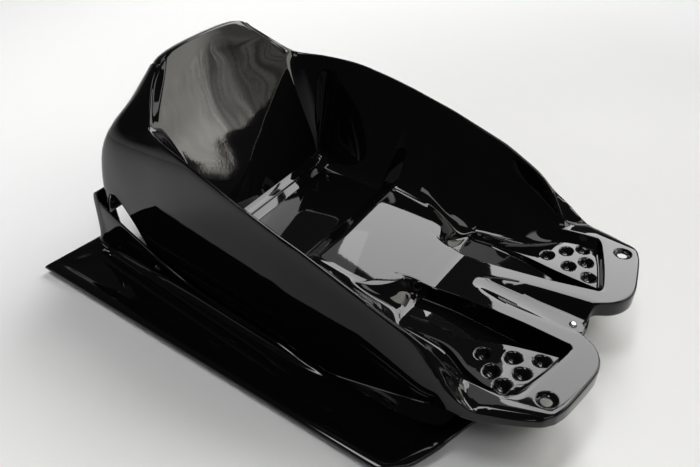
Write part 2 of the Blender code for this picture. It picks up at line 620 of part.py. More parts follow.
def rivet(name, seat, outward, grip):
    """Blind rivet with a domed head; seat is the middle of the face under its head."""
    arc = [math.radians(a) for a in (90, 60, 35, 12)]
    profile = [(RIVET_HEAD_R * math.cos(a), 0.4 + (RIVET_HEAD_H - 0.4) * math.sin(a)) for a in arc]
    profile[0] = (0.0, RIVET_HEAD_H)
    profile += [(RIVET_HEAD_R, 0.0), (RIVET_R, 0.0), (RIVET_R, -grip), (RIVET_R + 1.2, -grip - 0.8),
                (RIVET_R + 1.0, -grip - 2.6), (RIVET_R - 0.6, -grip - 3.6), (0.0, -grip - 3.6)]
    bm = bmesh.new()
    verts = [bm.verts.new((r * MM, 0, h * MM)) for r, h in profile]
    for one, two in zip(verts[:-1], verts[1:]):
        bm.edges.new((one, two))
    obj = add_object(name, bm, metal)
    turned = obj.modifiers.new("turned", "SCREW")
    turned.steps = 20
    turned.render_steps = 20
    turned.use_smooth_shade = True
    turned.use_merge_vertices = True
    turned.merge_threshold = 0.00001
    obj.location = place(seat)
    obj.rotation_mode = "QUATERNION"
    obj.rotation_quaternion = Vector((0, 0, 1)).rotation_difference(Vector(outward))
    return obj


black = material("black_moulded_plastic", (0.012, 0.012, 0.013), 0.16)
black_base = material("black_base_plastic", (0.010, 0.010, 0.011), 0.2)
metal = material("bright_rivet", (0.72, 0.72, 0.73), 0.3, 1.0)

shell = add_object("seat_shell", shell_mesh(), black)
solidify(shell)
pan = add_object("base_pan", pan_mesh(), black_base)
pan.vertex_groups.new(name="folded")
solidify(pan, "folded")

# round details of the shell
pads = [(side * x, y, pad_level(y)) for x, y in DIMPLES for side in (-1, 1)]
rings = [(side * ROPE_HOLE[0], ROPE_HOLE[1], deck(ROPE_HOLE[1])) for side in (-1, 1)]
bosses = [(over(p, -DIMPLE_DEEP - BOSS_WALL), over(p, -SHEET / 2), DIMPLE_FOOT_R + 1.6,
           DIMPLE_R + 0.4) for p in pads]
bosses += [(over(p, -ROPE_RECESS - BOSS_WALL), over(p, -SHEET / 2), ROPE_RING_R + 1.0,
            ROPE_RING_R + 1.6) for p in rings]
cups = [(over(p, -DIMPLE_DEEP), over(p, 2.0), DIMPLE_FOOT_R, DIMPLE_R) for p in pads]
cups += [(over(p, -ROPE_RECESS), over(p, 2.0), ROPE_RING_R - 1.0, ROPE_RING_R + 1.0) for p in rings]
holes = [(over(p, -12.0), over(p, 8.0), ROPE_HOLE_R, ROPE_HOLE_R) for p in rings]
boolean(shell, cone_cutters("boss_cones", bosses), "UNION")
boolean(shell, cone_cutters("dimple_cones", cups), "DIFFERENCE")
boolean(shell, cone_cutters("rope_hole_cylinders", holes), "DIFFERENCE")

# rivets: one in the nose, two in the collar and two in the rear posts
nose_up = Vector((0, -NOTCH_RISE, 1)).normalized()
nose = Vector((0, NOSE_RIVET_Y, notch_floor(NOSE_RIVET_Y)))
side_x = along(COLLAR_FOOT_X, SIDE_RIVET[0]) - 0.45
rear_face = POST_FRONT + POST_DEEP + 1.6
side_grip = 13.0
rear_grip = POST_DEEP + 8.6
points = [("nose_rivet", nose, nose_up, 2 * SHEET + 2 * FIT + 0.3)]
for side, word in ((-1, "right"), (1, "left")):
    points.append((word + "_side_rivet", Vector((side * side_x, *SIDE_RIVET)), Vector((side, 0, 0)),
                   side_grip))
    points.append((word + "_rear_rivet", Vector((side * REAR_RIVET[0], rear_face, REAR_RIVET[1])),
                   Vector((0, 1, 0)), rear_grip))
bores = [(tuple(p - d * 30), tuple(p + d * 8), RIVET_R + FIT, RIVET_R + FIT) for _, p, d, _ in points]
bore_tool = cone_cutters("rivet_bores", bores, segments=16)
boolean(shell, bore_tool, "DIFFERENCE")
boolean(pan, bore_tool, "DIFFERENCE")
for name, seat, outward, grip in points:
    rivet(name, seat + outward * FIT, outward, grip + FIT)
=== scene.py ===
import math

import bmesh
import bpy
import numpy as np
from mathutils import Matrix, Vector


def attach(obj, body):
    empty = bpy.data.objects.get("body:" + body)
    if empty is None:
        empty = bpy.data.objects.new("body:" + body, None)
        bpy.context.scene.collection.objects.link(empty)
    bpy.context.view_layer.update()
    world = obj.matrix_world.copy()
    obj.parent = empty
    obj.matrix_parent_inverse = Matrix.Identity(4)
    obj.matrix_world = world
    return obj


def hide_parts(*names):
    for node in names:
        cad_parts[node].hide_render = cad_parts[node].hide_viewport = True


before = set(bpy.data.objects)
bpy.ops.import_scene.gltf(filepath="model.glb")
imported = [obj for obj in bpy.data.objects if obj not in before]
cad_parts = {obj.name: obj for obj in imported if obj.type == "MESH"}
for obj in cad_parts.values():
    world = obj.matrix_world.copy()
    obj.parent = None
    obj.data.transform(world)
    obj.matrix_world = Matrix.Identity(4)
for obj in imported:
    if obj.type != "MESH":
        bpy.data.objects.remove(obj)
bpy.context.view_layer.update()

# Seat shell. One sheet of gloss black plastic, vacuum formed over a mould and trimmed along its lower
# edges: two prongs with rope holes, foot wells with pads and grip dimples, a bucket seat and a rolled rim.
# It hangs on the base by five blind rivets. Drawn in millimetres from the nose and the base's lip.
MM = 0.001
GROUND = 15.1            # the drawing's zero lies this high above the ground
MIDDLE = 352.02          # and this far in front of the middle of the sled
SHEET = 3.0
FIT = 0.3                # free gap between two parts
DECK_FRONT = 73.0
DECK_FALL = 0.105
PAD_DROP = 10.6
PAD_GROOVE = 9.0
WELL_FLOOR = 38.0
WELL_DEEP = 33.0         # the wells are deepest along the foot of the divider
NOTCH_FLOOR = 50.5
NOTCH_RISE = 0.05
SEAT_FLOOR = 60.0
RAMP = (195.0, 349.0)    # the ramp between the legs begins and ends here
RAMP_RISE = 0.14         # its rise towards the rear, per mm
SEAT_STEP = 2.6
BACK_STEP = 504.8
BACK_FOOT = 518.5
BACK_LEAN = 0.45
BACK_SCOOP = 5.0
BACK_SIDE = (587.0, 228.0)   # the plane of the backrest passes through this y and z
RIM_HALF = 4.0
RIM_FALL = 2.0
SHELL_REAR = 708.5
SKIRT_BOTTOM = 52.0
PAN_FLOOR = -7.0
# Curves are (position, amount) pairs; position is y, or x for the front lines, the _Y curves and the arch.
FRONT_LINE = [
    (0, 1), (16, 1), (30, -1), (38, -17), (47, -28), (62, -37), (77, -40), (97, -37.5), (129, -31),
    (150, -26.5), (165, -20), (176, -10.5)]
WELL_FRONT = [
    (0, 14), (29, 12), (50, 4), (60, -2), (68, -2), (94, 4), (125, 14), (162, 29), (170, 36), (190, 44),
    (205, 48)]
DIVIDER_X = [(0, 56), (45, 49), (100, 45), (150, 42), (185, 42.6), (222, 47), (240, 51)]
NOTCH_FLOOR_X = [(0, 15.5), (80, 13.5), (110, 11.5), (147, 7.5), (185, 9), (222, 12), (300, 20)]
NOTCH_TOP_X = [
    (0, 32), (40, 29), (75, 26.5), (98, 24), (120, 20.5), (143, 13.5), (150, 10.5), (185, 21), (222, 28),
    (300, 42)]
# the floor of the notch is this much lower in the middle
NOTCH_HOLLOW = [(0, 0), (20, 0), (60, 1.3), (110, 1.0), (148, 0)]
PAD_IN_X = [(30, 74), (43, 76), (60, 81), (79, 86), (97, 91), (115, 96), (130, 98), (205, 98)]
PAD_OUT_X = [
    (30, 150), (45, 160), (60, 159), (77, 153), (99, 143), (119, 128), (137, 119.5), (160, 118), (205, 117)]
BORDER_X = [
    (40, 170), (60, 170.5), (88, 169), (101, 166), (131, 157), (166, 150), (211, 142), (247, 135),
    (301, 122)]
BORDER_Z = [(105, 62), (131, 60), (166, 63), (211, 66), (247, 69), (301, 75)]
DECK_OUT_X = [(-10, 176), (8, 187), (35, 194.5), (46, 198), (60, 202.5), (75, 197), (88, 184)]
RIM_X = [
    (46, 195.5), (60, 199), (75, 190), (88, 181.5), (97, 183), (106, 185.8), (120, 190.8), (135, 194.8),
    (150, 197), (180, 200.5), (210, 202.5), (254, 202), (330, 201), (390, 198), (450, 193), (480, 187),
    (510, 181), (540, 174), (570, 165), (587, 160)]
RIM_Z = [
    (75, 66), (88, 66), (97, 76.5), (106, 89), (120, 107.5), (135, 120), (150, 130), (180, 143), (210, 156),
    (240, 166), (270, 175), (300, 185), (330, 192), (360, 200), (390, 208), (420, 215), (450, 222),
    (480, 226), (510, 228), (540, 229), (570, 228.5), (587, 228)]
CREST_Y = [
    (0, 236), (50, 236), (57, 238), (70, 243), (88, 255), (100, 272), (112, 290), (122, 301), (205, 304)]
FOOT_Y = [(0, 221), (104, 221), (112, 234), (122, 250), (205, 258)]

# outer walls, by stations along the rim: crease under the rim, middle, low line and edge
STATIONS = [
    -10, 8, 35, 60, 75, 88, 97, 105, 120, 150, 180, 210, 254, 330, 390, 450, 510, 540, 555, 564, 576, 587,
    600, 615, 630, 646, 661]
WALL_CREASE = [
    (176.5, -11, 69), (188, 7.5, 67.5), (195.5, 35, 65), (203.5, 60, 61.5), (206, 75, 71), (207.5, 88, 82),
    (206.5, 97, 90), (205, 105, 97), (202.5, 120, 105), (203, 150, 118), (205, 180, 126), (206.5, 210, 131),
    (207, 254, 138), (206.5, 330, 156), (203, 390, 171), (199, 450, 188), (195, 514, 199), (192, 551, 205),
    (190, 572, 208), (188.5, 590, 211), (187, 610, 214), (186, 630, 217), (179, 652, 231), (163, 655, 241),
    (139, 654, 248.5), (112, 653, 270), (90, 650.5, 288)]
WALL_MIDDLE = [
    (177, -11.2, 66.5), (188.4, 7.5, 64), (196, 35, 61.5), (204.5, 60, 58.5), (208, 75, 65),
    (209.5, 88, 72), (209.5, 97, 76), (209, 105, 79), (207.5, 120, 80), (208, 150, 80), (208, 180, 80),
    (208, 210, 78), (208, 254, 74), (207, 330, 80), (204.5, 390, 88), (201, 450, 96), (197, 514, 102),
    (194, 560, 105), (192, 585, 106), (191, 606, 114), (189.5, 634, 140), (188, 660, 176), (185, 684, 165),
    (172, 686, 165), (150, 687, 165), (124, 687, 165), (101, 687, 165)]
WALL_LOW = [
    (177.3, -11.3, 63.5), (188.8, 7.5, 60.5), (196.5, 35, 58), (205.5, 60, 55), (208.5, 75, 58),
    (210, 88, 61), (211, 97, 62), (211, 105, 60), (211, 120, 54), (210.5, 150, 43), (209.5, 180, 32),
    (208, 210, 20), (208, 254, 4), (206.5, 330, 4), (203.5, 390, 4), (200, 450, 4), (196, 517, 4),
    (193, 570, 5), (191.5, 597, 5), (190, 608, 50), (189.3, 634, 99), (187.5, 667, 138), (185.5, 699, 90),
    (174, 705, 88), (152, 705, 88), (124, 705, 88), (101, 705, 88)]
WALL_EDGE = [
    (177.5, -11.5, 60), (189, 7.5, 57), (197, 35, 54), (206, 60, 49), (209, 75, 50), (210.5, 88, 50.5),
    (211, 97, 50.5), (211, 105, 48.5), (211, 120, 42.5), (210.5, 150, 31), (209.5, 180, 20), (208, 210, 8.5)]
WALL_EDGE += [(x, y, PAN_FLOOR + FIT) for x, y in (
    (208, 254), (206, 330), (203, 390), (199.5, 450), (196, 518), (193, 572), (191.3, 601))]
WALL_EDGE += [(190, 614, 36), (189.5, 641, 85), (188, 674, 123), (185.5, 703, SKIRT_BOTTOM + 3)]
WALL_EDGE += [(x, SHELL_REAR, SKIRT_BOTTOM) for x in (175, 152, 124, 101)]
# the slanted and the top part of the rim: crest of the bead
SLANT_STATIONS = [587, 600, 615, 630, 646, 661]
SLANT = [
    (159, 586.5, 229.5), (147, 596.5, 240.5), (132, 607.5, 255), (117, 617, 270), (104, 622, 281),
    (95.5, 623, 290)]
ARCH_Z = [(0, 306), (25, 305.6), (50, 304), (66, 302), (78, 299), (86, 295.5), (92, 291.5)]

# height of each row up the backrest and its position along the rim
BACK_LEVELS = [
    (64, 512), (68, 521), (95, 531), (125, 542), (155, 555), (185, 564), (210, 576), (226, 587), (238, 600),
    (252, 615), (265, 630), (275, 646)]
COLUMNS = 19             # points of one row from the middle to the outer edge of the rim
LEG_CORNER_ROW = 41      # the row at which the side wall turns up into the rear cut of the leg
DECK_ROUND = {14: 0.2, 15: 0.6, 16: 1.2, 17: 2.2, 18: 4.0}   # drop of the last points of a deck row
SEAT_COLUMNS_X = [0, 20, 42, 52, 60, 68, 76, 84, 92, 100, 108, 116, 123]
RAMP_COLUMNS_X = [0, 20, 42, 54, 64, 74, 83, 91, 98, 104, 108.5, 113, 122]


def along(keys, value):
    """Piecewise straight curve through the given (position, amount) pairs."""
    return float(np.interp(value, [k[0] for k in keys], [k[1] for k in keys]))


def place(point):
    return Vector((point[0] * MM, (point[1] - MIDDLE) * MM, (point[2] + GROUND) * MM))


def deck(y):
    return DECK_FRONT - DECK_FALL * y


def pad_level(y):
    """The pads lean a little more to the rear than the deck."""
    return deck(y) - PAD_DROP - along([(30, -1.0), (110, 1.6)], y)


def notch_floor(y):
    return NOTCH_FLOOR + NOTCH_RISE * y


def deck_height(j, y):
    """The deck, or the floor of the notch for the first two points of a row."""
    return notch_floor(y) + j * along(NOTCH_HOLLOW, y) if j <= 1 else deck(y)


def ramp(y):
    """The plane that rises from the divider to the front edge of the seat."""
    return deck(RAMP[0]) + RAMP_RISE * (y - RAMP[0])


def back_plane(z):
    return BACK_SIDE[0] + BACK_LEAN * (z - BACK_SIDE[1])


def blend(a, b, t):
    return a + (b - a) * t


def point_along(stations, points, q):
    """The point at a station between the listed ones."""
    return tuple(float(np.interp(q, stations, [p[axis] for p in points])) for axis in range(3))


def outer_wall(q):
    """The four points of the outer wall at a station of the rim."""
    return [point_along(STATIONS, line, q) for line in (WALL_CREASE, WALL_MIDDLE, WALL_LOW, WALL_EDGE)]


def front_rows():
    """Rows from the edge of the prongs to the front edge of the foot pads."""
    edge = [0, 16, 30, 38, 47, 62, 77, 90, 112, 134, 148, 156, 162, 165, 168, 170.5, 173, 174.5,
            175.5]
    border = [0, 15.5, 29.5, 52, 56, 60, 66, 72, 108, 150, 156, 163, 170, 176, 182, 187, 191,
              194, 196.5]
    rows = []
    for t in (0.0, 0.13, 0.55, 1.0):
        row = []
        for j in range(COLUMNS):
            x = blend(edge[j], border[j], t)
            y = blend(along(FRONT_LINE, edge[j]), along(WELL_FRONT, border[j]), t)
            row.append((x, y, deck_height(j, y) - DECK_ROUND.get(j, 0)))
        rows.append(row)
    # two steep rows down into the wells and the grooves round the pads
    for step, well_a, well_b, pad_drop, corner_drop, groove_drop in (
            (3.5, 50, 52, PAD_DROP + 3.9, 14.0, 11.0), (7.0, 44, 48, PAD_DROP, 16.5, 12.0)):
        row = []
        for j in range(COLUMNS):
            x = border[j]
            y = along(WELL_FRONT, x) + step * (0.4 if j < 5 or j > 11 else 1.0)
            z = deck_height(j, y)
            if j == 5:
                z = well_a
            elif j == 6:
                z = well_b
            elif 7 <= j <= 9:
                z -= pad_drop
            elif j == 10:
                z -= corner_drop
            elif j == 11:
                z -= groove_drop
            row.append((x, y, z - DECK_ROUND.get(j, 0)))
        rows.append(row)
    return rows


def well_row(y, end=0.0):
    """One straight row through the foot wells; end sinks the tip of the stalk."""
    divider = along(DIVIDER_X, y)
    pad_in = along(PAD_IN_X, y)
    pad_out = along(PAD_OUT_X, y)
    border = along(BORDER_X, y)
    xs = [0, along(NOTCH_FLOOR_X, y), along(NOTCH_TOP_X, y), divider - 4, divider, divider + 6,
          pad_in - 4, pad_in, 0.5 * (pad_in + pad_out), pad_out, pad_out + 4,
          0.5 * (pad_out + 4 + border), border]
    if end:
        xs[7], xs[9] = pad_in + 2.5 * end, pad_out - 2.5 * end
    notch_z = min(notch_floor(y), deck(y)) if y < 150 else deck(y)
    pad = pad_level(y)
    side = along(BORDER_Z, y) if y > 105 else deck(y)
    groove = along([(90, pad - PAD_GROOVE), (125, WELL_FLOOR + 1)], y)
    top = deck(y) if y < RAMP[0] else ramp(y)
    notch_side = notch_z + along(NOTCH_HOLLOW, y)
    zs = [notch_z, notch_side, top, top, top, WELL_DEEP,
          min(WELL_FLOOR + 3.5, pad - 1.5), pad, pad, pad, groove, blend(groove, side, 0.35), side]
    if y >= 150:
        zs[0] = zs[1] = top
    if end == 1.0:
        zs[7] = zs[8] = zs[9] = pad - 1.0
    if end > 1.0:
        zs[7] = zs[8] = zs[9] = WELL_FLOOR + 0.5
    return close_row([(x, y, z) for x, z in zip(xs, zs)], y)


def close_row(row, q, bulge=0.0):
    """Carry a row from the foot of the side wall up to the bead of the rim."""
    x0, y0, z0 = row[-1]
    if q >= SLANT_STATIONS[0]:
        rim = np.array(point_along(SLANT_STATIONS, SLANT, q))
        turned = min((q - 570) / 30.0, 1.0)
        inner = rim + blend(np.array([-RIM_HALF, 0, -RIM_FALL]), np.array([-2.8, -1.4, -2.6]), turned)
        outer = rim + blend(np.array([RIM_HALF, 0, -RIM_FALL]), np.array([1.2, 3.8, -0.6]), turned)
    else:
        rim_z = along(RIM_Z, q) if q > 75 else deck(q) - DECK_ROUND[17]
        rim = np.array([along(RIM_X, q), q, rim_z])
        grown = min(max((q - 70) / 25.0, 0.0), 1.0)
        inner = rim + (-RIM_HALF, 0, -RIM_FALL * grown + (1 - grown))
        edge_x = along(DECK_OUT_X, q) if q < 88 else rim[0] + RIM_HALF
        outer = np.array([edge_x, q, rim_z - (RIM_FALL if q >= 75 else 1.7)])
    steep = along([(88, 0), (105, 1), (180, 1), (240, 0)], q)
    for share, lift, share_steep in ((0.22, 0.19, 0.45), (0.5, 0.46, 0.78), (0.77, 0.75, 0.94)):
        across = blend(share, share_steep, steep)
        x = blend(x0, inner[0], across)
        y = blend(y0, inner[1], across)
        z = blend(z0, inner[2], lift)
        row.append((x + bulge * 4 * share * (1 - share), y, z))
    row.extend([tuple(inner), tuple(rim), tuple(outer)])
    return row


def seat_rows():
    rows = []
    crest_x = [0, 12, 28, 46, 50, 57, 70, 82, 92, 100, 107, 114, 122]
    foot_x = [0, 12, 28, 44, 48, 55, 68, 80, 90, 98, 106, 113, 124]
    crest_z = [ramp(along(CREST_Y, x)) for x in crest_x[:11]] + [SEAT_FLOOR + 11, SEAT_FLOOR + 15]
    foot_z = [ramp(along(FOOT_Y, x)) for x in foot_x[:5]] + [WELL_DEEP + 1] + [WELL_FLOOR + 1] * 4
    foot_z += [WELL_FLOOR + 5, WELL_FLOOR + 12, SEAT_FLOOR + 6]
    for t, ease in ((0.0, 0.0), (0.5, 0.38), (1.0, 1.0)):
        row = []
        for a, b, low, high in zip(foot_x, crest_x, foot_z, crest_z):
            y = blend(along(FOOT_Y, a), along(CREST_Y, b), t)
            row.append((blend(a, b, t), y, blend(low, high, ease)))
        rows.append(close_row(row, along([(0, 258), (1, 288)], t)))
    fillet = {9: 0.5, 10: 2.5, 11: 7.0, 12: 14.0}
    for q, level in ((306, None), (330, None), (RAMP[1], None), (RAMP[1] + 3.5, ramp(RAMP[1]) - 1.0),
                     (374, SEAT_FLOOR + 1.0), (379, SEAT_FLOOR), (425, SEAT_FLOOR), (470, SEAT_FLOOR),
                     (488, SEAT_FLOOR), (490.5, SEAT_FLOOR - SEAT_STEP), (503.5, SEAT_FLOOR + 1.4)):
        row = []
        for j, x in enumerate(RAMP_COLUMNS_X if q <= RAMP[1] else SEAT_COLUMNS_X):
            y = q
            if q < 320:
                y = blend(along(CREST_Y, x) + 14, q, 0.45)
            z = ramp(y) if level is None else level
            row.append((x, y, z + fillet.get(j, 0.0)))
        side = along([(488, 492), (503.5, 507)], q) if q > 488 else q
        rows.append(close_row(row, side, bulge=2.0))
    return rows


def back_rows():
    rows = []
    edge = [(58, 126), (69, 130), (95, 132), (130, 133), (183, 134), (226, 139), (238, 135),
            (252, 122), (265, 110), (275, 99)]
    for z, q in BACK_LEVELS:
        row = []
        half = along(edge, z)
        for j, x in enumerate(SEAT_COLUMNS_X):
            share = x / SEAT_COLUMNS_X[-1]
            px = share * half
            scoop = BACK_SCOOP * math.sin(math.pi * min(max((z - 60) / 245.0, 0), 1))
            py = back_plane(z) + scoop * (1 - share ** 2)
            pz = z
            if z < 80 and j >= 10:
                pz += (2.0, 5.5, 11.0)[j - 10] * 0.9
            if z == 64:
                py = BACK_STEP
            if z == 68:
                py = BACK_FOOT
            row.append((px, py, pz))
        rows.append(close_row(row, q, bulge=1.5 if z < 220 else 0.0))
    top_x = [0, 14, 28, 35, 41, 47, 52, 57, 62, 67, 71, 75, 78.5, 81.5, 84.5, 87.5]
    corner = (((92.0, 619.5, 285.5), (91.5, 622.8, 290.5), (90.0, 627.0, 290.5)),
              ((95.8, 621.0, 287.8), (94.2, 624.0, 291.0), (92.5, 628.0, 290.5)),
              ((98.5, 625.0, 287.6), (97.0, 626.8, 289.6), (95.0, 629.5, 289.2)))
    for k, (drop, y) in enumerate(((4.0, 620.4), (0.0, 623.6), (1.0, 627.4))):
        row = [(x, y - 0.5 * (x / 90.0) ** 2, along(ARCH_Z, x) - drop) for x in top_x]
        row += [points[k] for points in corner]
        rows.append(row)
    return rows


def shell_grid():
    rows = front_rows()
    for y in (60, 75, 88, 97, 106, 120, 135, 150, 170, 190, 199):
        rows.append(well_row(y))
    rows.append(well_row(207, end=1.0))
    rows.append(well_row(211.5, end=2.0))
    rows += seat_rows()
    rows += back_rows()
    return rows


def shell_mesh():
    """Half of the visible skin of the seat shell, from the middle plane outwards."""
    rows = shell_grid()
    spots = [row[-1][1] for row in rows[:-len(BACK_LEVELS) - 3]]
    spots += [q for _, q in BACK_LEVELS] + [652, 657, 661]
    bm = bmesh.new()
    crease = bm.edges.layers.float.new("crease_edge")
    grid = [[bm.verts.new(place(p)) for p in row] for row in rows]
    for low, high in zip(grid[:-1], grid[1:]):
        for j in range(COLUMNS - 1):
            bm.faces.new((low[j], low[j + 1], high[j + 1], high[j]))
    wells = range(3, 19)
    ledges = [(1, range(0, 12), 0.9), (2, range(0, 13), 0.95), (4, wells, 0.7), (5, range(5, 18), 0.85),
              (6, range(5, 18), 0.85), (7, range(5, 17), 0.75), (9, range(5, 17), 0.75),
              (12, range(3, 10), 0.6)]
    for j, span, sharp in ledges:
        for i in span:
            bm.edges.get((grid[i][j], grid[i + 1][j]))[crease] = sharp
    across = [(3, range(4, 12), 0.6), (5, range(6, 9), 0.6), (21, range(4, 10), 0.6), (24, range(0, 8), 0.75),
              (34, range(0, 12), 0.6)] + [(i, range(0, 12), 0.7) for i in (30, 31, 32, 33)]
    for i, span, sharp in across:
        for j in span:
            bm.edges.get((grid[i][j], grid[i][j + 1]))[crease] = sharp
    # outer walls hang from the front edge, the rim of the side and the arch
    chain = []
    for j in range(COLUMNS - 1):
        x, y, z = rows[0][j]
        if j <= 1:
            outer = [(x, y - 0.8, z), (x, y - 1.6, z), (x, y - 2.4, z), (x, y - 3.2, z)]
        else:
            low = SKIRT_BOTTOM + along([(62, 0), (97, 2), (165, 7)], x)
            ahead = along([(30, 0.2), (50, 0.7), (90, 1.0)], x)
            side = along([(30, -0.6), (47, -0.6), (62, -0.3), (90, 0.0), (165, 0.3)], x)
            outer = [(x + side * s, y - ahead * s, blend(z, low, d))
                     for s, d in ((0.9, 0.16), (1.2, 0.42), (1.5, 0.7), (1.8, 1.0))]
        chain.append((grid[0][j], outer))
    for i, row in enumerate(rows[:-1]):
        chain.append((grid[i][-1], outer_wall(spots[i])))
    last = rows[-1]
    for j in range(COLUMNS - 1, -1, -1):
        x = last[j][0]
        if j == COLUMNS - 1:
            outer = outer_wall(STATIONS[-1])
        else:
            wide = along([(0, 0), (71, 76), (92.5, 89)], x)
            outer = [(wide, along([(0, 648), (90, 650.5)], wide),
                      along([(0, 300), (40, 299), (66, 297), (80, 293.5), (90, 288)], wide)),
                     (wide, 687, 165), (wide, 705, 88), (wide, SHELL_REAR, SKIRT_BOTTOM)]
        chain.append((grid[-1][j], outer))
    strip = [[top] + [bm.verts.new(place(p)) for p in outer] for top, outer in chain]
    for one, two in zip(strip[:-1], strip[1:]):
        for k in range(len(one) - 1):
            bm.faces.new((one[k], one[k + 1], two[k + 1], two[k]))
    corner = strip[COLUMNS - 1 + LEG_CORNER_ROW]
    for k in range(1, 4):
        bm.edges.get((corner[k], corner[k + 1]))[crease] = 0.3
    return bm


# round details: reach is the whole pressed area, side is the width of its sloping edge
DIMPLES = [(112, 89), (101, 55), (89, 23), (133, 69), (120, 36), (148, 49)]
DIMPLE_REACH, DIMPLE_R, DIMPLE_SIDE, DIMPLE_DEEP = 11.6, 10.8, 7.4, 8.0
ROPE_HOLE = (150.0, -4.0)
ROPE_HOLE_R = 6.8
RING_REACH, RING_R, RING_SIDE, RING_DEEP = 14.5, 12.0, 2.0, 3.0
DETAILS_END, DETAILS_DEEP = 110, 14  # they lie in front of this y and at most this far below the deck
EDGE_BEVEL = 0.7
BEVEL_FROM = math.radians(24)    # edges sharper than this get the small radius
FOLDED_THIN = 0.5                # a folded part is this share of the sheet thick


def ease(t):
    t = min(max(t, 0.0), 1.0)
    return t * t * (3 - 2 * t)


def add_object(name, data):
    obj = bpy.data.objects.new(name, data)
    bpy.context.scene.collection.objects.link(obj)
    return obj


def object_from(bm, name):
    mesh = bpy.data.meshes.new(name)
    bm.to_mesh(mesh)
    bm.free()
    return add_object(name, mesh)


def finished_mesh(obj):
    """The object's mesh with its modifiers applied; the object goes."""
    mesh = bpy.data.meshes.new_from_object(obj.evaluated_get(bpy.context.evaluated_depsgraph_get()))
    bpy.data.objects.remove(obj)
    return mesh


def smooth_half(bm, name, folded=False):
    """Mirror the half cage, round it off and return it as one skin."""
    cage = object_from(bm, name + "_cage")
    if folded:
        cage.vertex_groups.new(name="folded")
    mirror = cage.modifiers.new("both sides", "MIRROR")
    mirror.merge_threshold = 0.00005
    rounding = cage.modifiers.new("rounding", "SUBSURF")
    rounding.levels = rounding.render_levels = 2
    bevel = cage.modifiers.new("small radius", "BEVEL")
    bevel.limit_method = "ANGLE"
    bevel.angle_limit = BEVEL_FROM
    bevel.width = EDGE_BEVEL * MM
    bevel.segments = 2
    bevel.loop_slide = False
    return finished_mesh(cage)


def press_details(skin):
    """Refine the pads and prong ends, press the dimples and rings in and punch the holes."""
    bm = bmesh.new()
    bm.from_mesh(skin)
    holes = [(side * ROPE_HOLE[0], ROPE_HOLE[1]) for side in (-1, 1)]
    spots = [(side * x, y, DIMPLE_REACH, False) for x, y in DIMPLES for side in (-1, 1)]
    spots += [(*hole, RING_REACH, True) for hole in holes]

    def drawn(point):
        return point.x / MM, point.y / MM + MIDDLE, point.z / MM - GROUND

    def off(vert, spot):
        x, y, _ = drawn(vert.co)
        return x - spot[0], y - spot[1]

    def near(face):
        x, y, z = drawn(face.calc_center_median())
        if z < deck(y) - DETAILS_DEEP - 2 or face.normal.z < 0.8:
            return False
        return any((x - sx) ** 2 + (y - sy) ** 2 < (reach + 5) ** 2 for sx, sy, reach, _ in spots)

    for _ in range(2):
        bm.normal_update()
        faces = [f for f in bm.faces if near(f)]
        edges = {e for f in faces for e in f.edges if e.calc_length() > 1.5 * MM}
        bmesh.ops.subdivide_edges(bm, edges=list(edges), cuts=1, use_grid_fill=True)
    up = Vector((0, DECK_FALL, 1)).normalized()
    for vert in bm.verts:
        x, y, z = drawn(vert.co)
        if z < deck(y) - DETAILS_DEEP or y > DETAILS_END:
            continue
        for sx, sy, reach, ring in spots:
            r = math.hypot(x - sx, y - sy)
            if r > reach:
                continue
            if not ring:
                vert.co -= up * (DIMPLE_DEEP * ease((DIMPLE_R - r) / DIMPLE_SIDE)) * MM
            elif z > deck(y) - 3:
                vert.co -= up * (RING_DEEP * ease((RING_R - r) / RING_SIDE) + 0.3 * max(0.0, 10.0 - r)) * MM
    for hole in holes:
        inside = [v for v in bm.verts
                  if math.hypot(*off(v, hole)) < ROPE_HOLE_R and drawn(v.co)[2] > deck(hole[1]) - 6]
        bmesh.ops.delete(bm, geom=inside, context="VERTS")
        edge = {v for e in bm.edges if e.is_boundary for v in e.verts
                if math.hypot(*off(v, hole)) < ROPE_HOLE_R + 3.5}
        for v in edge:
            dx, dy = off(v, hole)
            r = math.hypot(dx, dy)
            v.co.x += dx * (ROPE_HOLE_R / r - 1) * MM
            v.co.y += dy * (ROPE_HOLE_R / r - 1) * MM
    bm.to_mesh(skin)
    bm.free()


def sheet_object(name, skin, mat, folded=False):
    """Give the skin its sheet thickness towards the inside."""
    obj = add_object(name, skin)
    if folded:
        obj.vertex_groups.new(name="folded")
    sheet = obj.modifiers.new("sheet", "SOLIDIFY")
    sheet.thickness = SHEET * MM
    sheet.offset = -1.0
    if folded:
        sheet.vertex_group = "folded"
        sheet.invert_vertex_group = True
        sheet.thickness_vertex_group = FOLDED_THIN
    skin.shade_smooth()
    flat = obj.modifiers.new("flat faces stay flat", "WEIGHTED_NORMAL")
    flat.weight = 90
    flat.keep_sharp = True
    whole = finished_mesh(obj)
    whole.materials.clear()
    whole.materials.append(mat)
    piece = add_object(name, whole)
    piece.vertex_groups.clear()
    return piece


def new_material(name):
    mat = bpy.data.materials.new(name)
    mat.use_nodes = True
    return mat, mat.node_tree


def wire(tree, node, inputs):
    """Set inputs of a node to values or link them to sockets, and return the node's first output."""
    for label, value in inputs.items():
        if isinstance(value, bpy.types.NodeSocket):
            tree.links.new(value, node.inputs[label])
        else:
            node.inputs[label].default_value = value
    return node.outputs[0]


def make(tree, kind, inputs):
    return wire(tree, tree.nodes.new(kind), inputs)


def noise(tree, where, scale, detail, rough):
    return make(tree, "ShaderNodeTexNoise",
                {"Vector": where, "Scale": scale, "Detail": detail, "Roughness": rough})


def calc(tree, operation, *values):
    node = tree.nodes.new("ShaderNodeMath")
    node.operation = operation
    return wire(tree, node, dict(enumerate(values)))


def times(tree, one, two):
    return calc(tree, "MULTIPLY", one, two)


